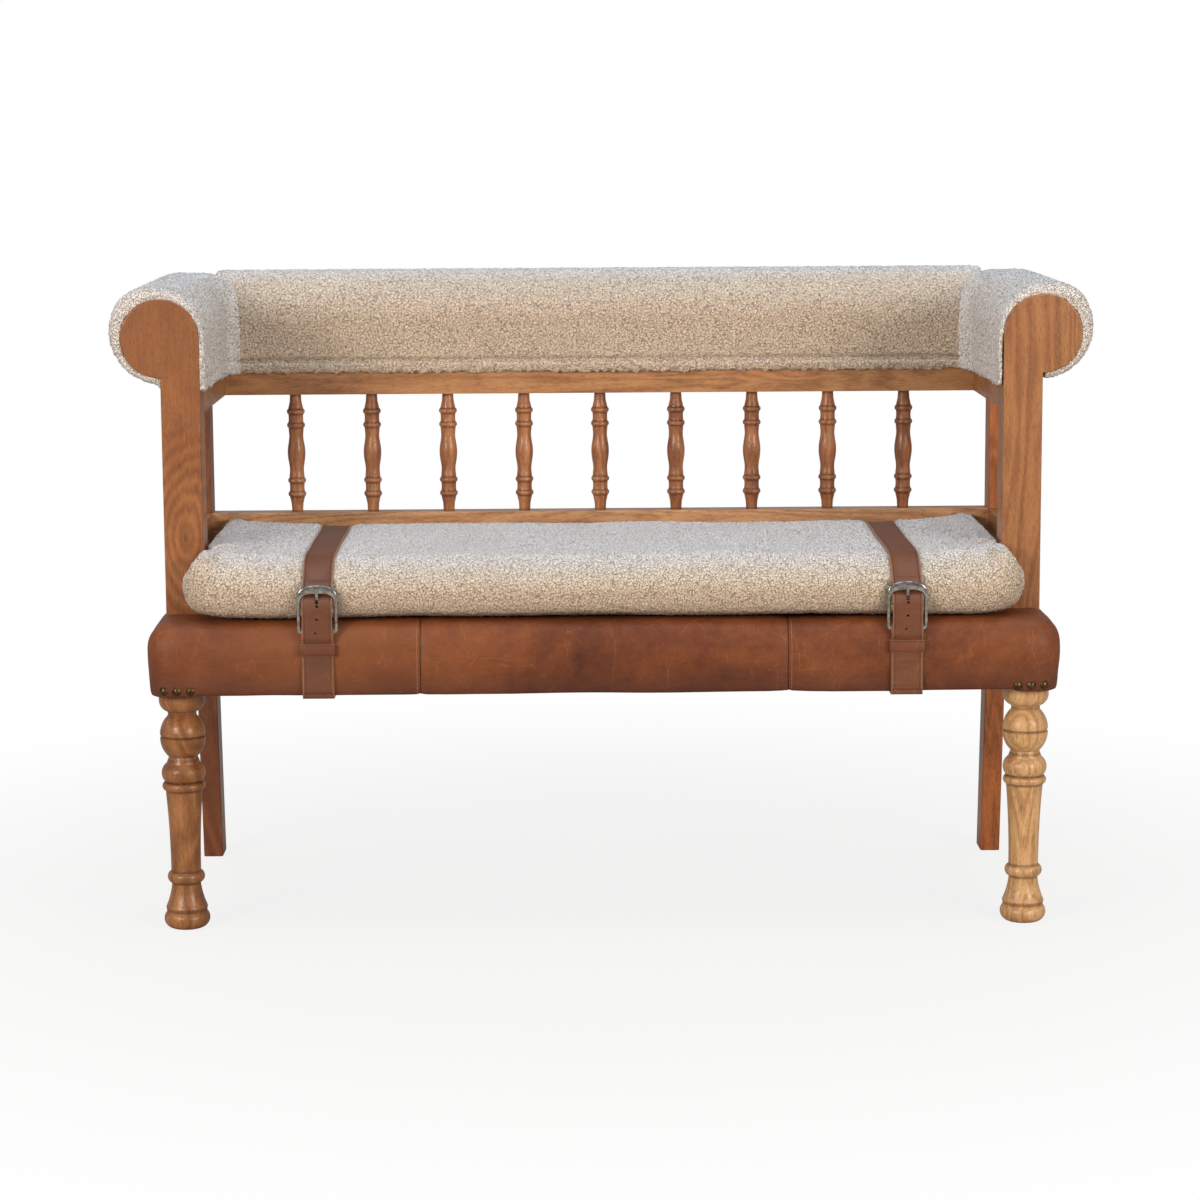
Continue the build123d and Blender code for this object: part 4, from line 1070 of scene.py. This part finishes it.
def make_buckle(name, finish):
    """A metal frame with thin sides and a taller, arched top bar."""
    low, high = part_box(f"buckle_frame_{name}")
    bpy.ops.object.select_all(action="DESELECT")
    bpy.ops.mesh.primitive_circle_add(vertices=96, radius=1, fill_type="NOTHING", rotation=(pi / 2, 0, 0))
    buckle = settle(f"buckle_{name}")
    bpy.ops.object.mode_set(mode="EDIT")
    bpy.ops.mesh.select_all(action="SELECT")
    bpy.ops.mesh.extrude_region_move()
    bpy.ops.transform.resize(value=(0.5, 0.5, 0.5))
    bpy.ops.object.mode_set(mode="OBJECT")
    points = points_of(buckle)
    inside = np.hypot(points[:, 0], points[:, 2]) < 0.75
    angle = np.arctan2(points[:, 2], points[:, 0])
    squareness = np.where(angle > 0, 6, 16)
    reach = (np.abs(np.cos(angle)) ** squareness + np.abs(np.sin(angle)) ** squareness) ** (-1 / squareness)
    across, upward = reach * np.cos(angle), reach * np.sin(angle)
    half_width = (high.x - low.x) / 2 - inside * SIDE_BAR
    top = high.z - inside * TOP_BAR
    bottom = low.z + inside * HEEL_BAR
    arch = np.where(inside, TOP_ARCH_INSIDE, TOP_ARCH) * (across ** 2) * np.clip(upward, 0, 1)
    points[:, 0] = (low.x + high.x) / 2 + across * half_width
    points[:, 1] = (low.y + high.y) / 2
    points[:, 2] = (top + bottom) / 2 + upward * (top - bottom) / 2 - arch
    set_points(buckle, points)
    modify(buckle, "SOLIDIFY", thickness=high.y - low.y, offset=0)
    modify(buckle, "BEVEL", width=BUCKLE_EDGE, segments=4, limit_method="ANGLE", angle_limit=radians(40))
    return dress(buckle, finish, f"buckle_{name}", (f"buckle_frame_{name}",))


def make_tab(name, finish, edge):
    """The short strap that holds the buckle: up the front and round the heel bar."""
    frame_low, frame_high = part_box(f"buckle_frame_{name}")
    keeper_low, keeper_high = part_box(f"belt_keeper_{name}")
    low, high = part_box(f"buckle_tab_{name}")
    half = TAB_THICKNESS / 2
    heel = Vector((0, (frame_low.y + frame_high.y) / 2, frame_low.z + HEEL_BAR / 2))
    loop = HEEL_BAR / 2 + half + 0.0002
    face = keeper_high.y - KEEPER_ROOM - half
    route = [
        (high.y, low.z + half),
        (face + 0.004, low.z + half),
        (face, low.z + half),
        (face, low.z + half + 0.004),
        (face, keeper_low.z),
        (face, keeper_high.z),
        (heel.y - loop, heel.z - 0.006),
        (heel.y - loop, heel.z + loop),
        (heel.y + loop, heel.z + loop),
        (heel.y + loop, heel.z - 0.0055),
    ]
    centre = BELTS[name]
    tab = ribbon(f"buckle_strap_{name}", route, high.x - low.x + TAB_SPARE_WIDTH, centre)
    thicken(tab, TAB_THICKNESS)
    slot_low = (centre - RING_SLOT_WIDTH / 2, low.y - 0.01, heel.z - 0.0045)
    slot_high = (centre + RING_SLOT_WIDTH / 2, high.y, heel.z + 0.01)
    cut(tab, box("ring_room", slot_low, slot_high))
    return dress(tab, (finish, edge), stands_for=(f"buckle_tab_{name}",))


def make_keeper(name, finish, edge):
    """The leather loop that holds the end of the strap down."""
    low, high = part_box(f"belt_keeper_{name}")
    loop = box(f"keeper_{name}", low, high)
    bevel_edges(loop, lambda a, b: a.z != b.z, 0.0016, 4)
    wall = Vector((KEEPER_WALL_X, KEEPER_WALL_Y, -0.01))
    cut(loop, box("keeper_room", low + wall, high - wall))
    modify(loop, "BEVEL", width=0.0004, segments=2, limit_method="ANGLE", angle_limit=radians(50))
    dress(loop, (finish, edge), f"keeper_{name}", (f"belt_keeper_{name}",))
    for face in loop.data.polygons:
        face.material_index = int(abs(face.normal.z) > 0.5)
    set_mark(loop, "across", (points_of(loop)[:, 2] - (low.z + high.z) / 2) / (high.z - low.z))
    return loop


# Dust cloth under the seat

def make_dust_cloth(finish):
    bpy.ops.object.select_all(action="DESELECT")
    size = cloth_high - cloth_low
    centre = (cloth_low + cloth_high) / 2
    bpy.ops.mesh.primitive_grid_add(x_subdivisions=120, y_subdivisions=40, size=1, location=centre)
    bpy.ops.transform.resize(value=(size.x, size.y, 1))
    cloth = settle("dust_cloth_sheet")
    points = points_of(cloth)
    rim = np.minimum(
        size.x / 2 - np.abs(points[:, 0] - centre.x),
        size.y / 2 - np.abs(points[:, 1] - centre.y),
    )
    sag = np.clip(rim / CLOTH_RIM, 0, 1)
    points[:, 2] -= sag * (CLOTH_SAG + waves(points, 11) * CLOTH_UNEVEN)
    set_points(cloth, points)
    modify(cloth, "SOLIDIFY", thickness=CLOTH_THICKNESS, offset=0)
    return dress(cloth, finish, stands_for=("dust_cloth",))


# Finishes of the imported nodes

LEG_GROOVES = (0.023, 0.056, 0.071, 0.172, 0.183, 0.210, 0.2395, 0.2675)
SPINDLE_GROOVES = (0.033, 0.040, 0.051, 0.058, 0.077)
spindle_middle = (lower_rail_high.z + upper_rail_low.z) / 2

LEG_TURNING = {"grooves": LEG_GROOVES}
SPINDLE_TURNING = {
    "grooves": SPINDLE_GROOVES,
    "groove_half": 0.0022,
    "mirror_height": spindle_middle,
    "varied": 0.5,
}
POST_KNOT = {"knot": (-0.5115, 0.477)}

# Each wood: the axis of its grain, its dark, middle and light tone, and what it has besides
WOOD_LIST = (
    ("dark_leg_wood", "Z", ((108, 62, 32), (140, 89, 48), (170, 115, 68)), LEG_TURNING),
    ("pale_leg_wood", "Z", ((156, 108, 67), (198, 151, 102), (222, 178, 126)), LEG_TURNING),
    ("dark_post_wood", "Z", ((110, 62, 31), (146, 90, 50), (174, 114, 66)), POST_KNOT),
    ("pale_post_wood", "Z", ((122, 74, 42), (154, 101, 62), (178, 122, 76)), {}),
    ("dark_rear_wood", "Z", ((92, 50, 30), (118, 66, 40), (140, 82, 50)), {}),
    ("pale_rear_wood", "Z", ((124, 70, 36), (160, 91, 47), (184, 110, 61)), {}),
    ("spindle_wood", "Z", ((124, 74, 46), (163, 104, 66), (191, 132, 88)), SPINDLE_TURNING),
    ("rail_wood", "X", ((134, 87, 54), (170, 119, 77), (192, 140, 94)), {}),
    ("low_rail_wood", "X", ((142, 96, 64), (182, 134, 94), (204, 156, 112)), {}),
    ("arm_wood", "Y", ((118, 72, 44), (152, 101, 65), (176, 122, 80)), {}),
)
WOODS = {name: wood_finish(name, along, tones, **extra) for name, along, tones, extra in WOOD_LIST}
HIDDEN_WOOD = raw_wood_finish("frame_wood", colour(214, 184, 140), colour(178, 142, 98))
PLYWOOD = raw_wood_finish("plywood", colour(222, 194, 152), colour(190, 156, 112))
PILE = pile_finish()
LEATHER = leather_finish()
STRAP = strap_finish("belt_leather", colour(98, 58, 34))
LOOP = strap_finish("keeper_leather", colour(98, 46, 25))
EDGE = raw_edge_finish()
METAL = buckle_finish()
NODE_FINISHES = {
    "front_leg_left": WOODS["dark_leg_wood"],
    "front_leg_right": WOODS["pale_leg_wood"],
    "scroll_post_left": WOODS["dark_post_wood"],
    "scroll_post_right": WOODS["pale_post_wood"],
    "rear_post_left": WOODS["dark_rear_wood"],
    "rear_post_right": WOODS["pale_rear_wood"],
    "back_spindle": WOODS["spindle_wood"],
    "arm_spindle": WOODS["spindle_wood"],
    "back_lower_rail": WOODS["low_rail_wood"],
    "back_upper_rail": WOODS["rail_wood"],
    "arm_lower_rail": WOODS["arm_wood"],
    "arm_upper_rail": WOODS["arm_wood"],
    "corner_block": HIDDEN_WOOD,
    "front_seat_rail": HIDDEN_WOOD,
    "rear_seat_rail": HIDDEN_WOOD,
    "side_seat_rail": HIDDEN_WOOD,
    "arm_roll_core": HIDDEN_WOOD,
    "back_roll_core": HIDDEN_WOOD,
    "seat_deck": PLYWOOD,
    "buckle": METAL,
    "corner_nails": brass_finish(),
    "frame_fasteners": steel_finish(),
    "seat_padding": foam_finish(),
}


def finish_nodes():
    """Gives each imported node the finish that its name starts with."""
    for name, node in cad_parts.items():
        for start, material in NODE_FINISHES.items():
            if name.startswith(start):
                node.data.materials.clear()
                node.data.materials.append(material)


# Stage: floor, light and camera

def make_floor():
    bpy.ops.object.select_all(action="DESELECT")
    bpy.ops.mesh.primitive_plane_add(size=40)
    floor = settle("floor")
    finish = Finish("floor")
    material = finish.surface(Base_Color=colour(192, 186, 178), Roughness=0.9)
    away = finish.node("ShaderNodeVectorMath", {"operation": "LENGTH"}, {0: finish.place()}, "Value")
    seen = finish.node("ShaderNodeLightPath", output="Is Camera Ray")
    white = finish.node("ShaderNodeEmission", None, {"Strength": 1.0})
    plain = Signal(finish, finish.tree.nodes["Principled BSDF"].outputs[0])
    share = seen * (0.84 + finish.step(away, 0.5, 1.5) * 0.16)
    mixed = finish.node("ShaderNodeMixShader", None, {0: share, 1: plain, 2: white})
    finish.feed(finish.tree.nodes["Material Output"].inputs["Surface"], mixed)
    floor.data.materials.append(material)


WARM_LIGHT = (1.0, 0.88, 0.74)
COOL_LIGHT = (0.80, 0.91, 1.0)
SKY_LIGHT = (0.86, 0.94, 1.0, 1)
SKY_STRENGTH = 0.41


def make_world(strength):
    """White to the camera and through clear surfaces, and a plain soft light on the bench."""
    world = bpy.data.worlds.new("studio")
    scene.world = world
    world.use_nodes = True
    nodes = Nodes(world.node_tree)
    seen = nodes.node("ShaderNodeLightPath", output="Is Camera Ray")
    shown = nodes.math("MAXIMUM", seen, nodes.node("ShaderNodeLightPath", output="Is Transmission Ray"))
    background = world.node_tree.nodes["Background"]
    nodes.feed(background.inputs["Color"], nodes.mix(shown, SKY_LIGHT, (1, 1, 1, 1)))
    nodes.feed(background.inputs["Strength"], shown * (1 - strength) + strength)


def add_lamp(name, place, target, size, power, tint):
    bpy.ops.object.light_add(type="AREA", location=place)
    lamp = bpy.context.object
    lamp.name = name
    lamp.rotation_euler = (Vector(target) - Vector(place)).to_track_quat("-Z", "Y").to_euler()
    lamp.data.shape = "RECTANGLE"
    lamp.data.size, lamp.data.size_y = size
    lamp.data.energy = power
    lamp.data.color = tint


def add_lights():
    make_world(SKY_STRENGTH)
    centre = (0, 0, 0.45)
    add_lamp("key", (-2.3, -2.9, 1.5), centre, (1.2, 1.0), 72, WARM_LIGHT)
    add_lamp("fill", (2.4, -2.9, 1.4), centre, (1.2, 1.0), 64, WARM_LIGHT)
    add_lamp("overhead", (0.0, -0.4, 4.5), centre, (3.6, 2.4), 88, COOL_LIGHT)


CAMERA_PLACE = (-0.04116, -4.00287, 0.97945)
CAMERA_PITCH = radians(8.60)
CAMERA_YAW = radians(0.55)
CAMERA_ROLL = radians(0.33)
CAMERA_LENS = 94.957


def add_camera():
    data = bpy.data.cameras.new("photo_view")
    data.lens = CAMERA_LENS
    data.sensor_width = 36
    camera = bpy.data.objects.new("photo_view", data)
    scene.collection.objects.link(camera)
    turn = Matrix.Rotation(-CAMERA_YAW, 4, "Z") @ Matrix.Rotation(pi / 2 - CAMERA_PITCH, 4, "X")
    camera.matrix_world = Matrix.Translation(CAMERA_PLACE) @ turn @ Matrix.Rotation(-CAMERA_ROLL, 4, "Z")
    scene.camera = camera


def main():
    scene.view_settings.view_transform = "Standard"
    finish_nodes()
    make_back_roll(PILE)
    for name, side in SIDES.items():
        make_arm_roll(name, side, PILE)
    cushion = make_cushion(PILE)
    seam = middle_high.x
    make_panel("left", -end_high.x, -seam - SKIN, LEATHER, ("leather_panel_left",))
    make_panel("middle", -seam, seam, LEATHER, ("leather_panel_middle", "seat_padding"))
    make_panel("right", seam + SKIN, end_high.x, LEATHER, ("leather_panel_right",))
    for name in SIDES:
        make_strap(name, STRAP, EDGE, cushion)
        make_buckle(name, METAL)
        make_tab(name, STRAP, EDGE)
        make_keeper(name, LOOP, EDGE)
    make_dust_cloth(cloth_finish())
    make_floor()
    add_lights()
    add_camera()


main()
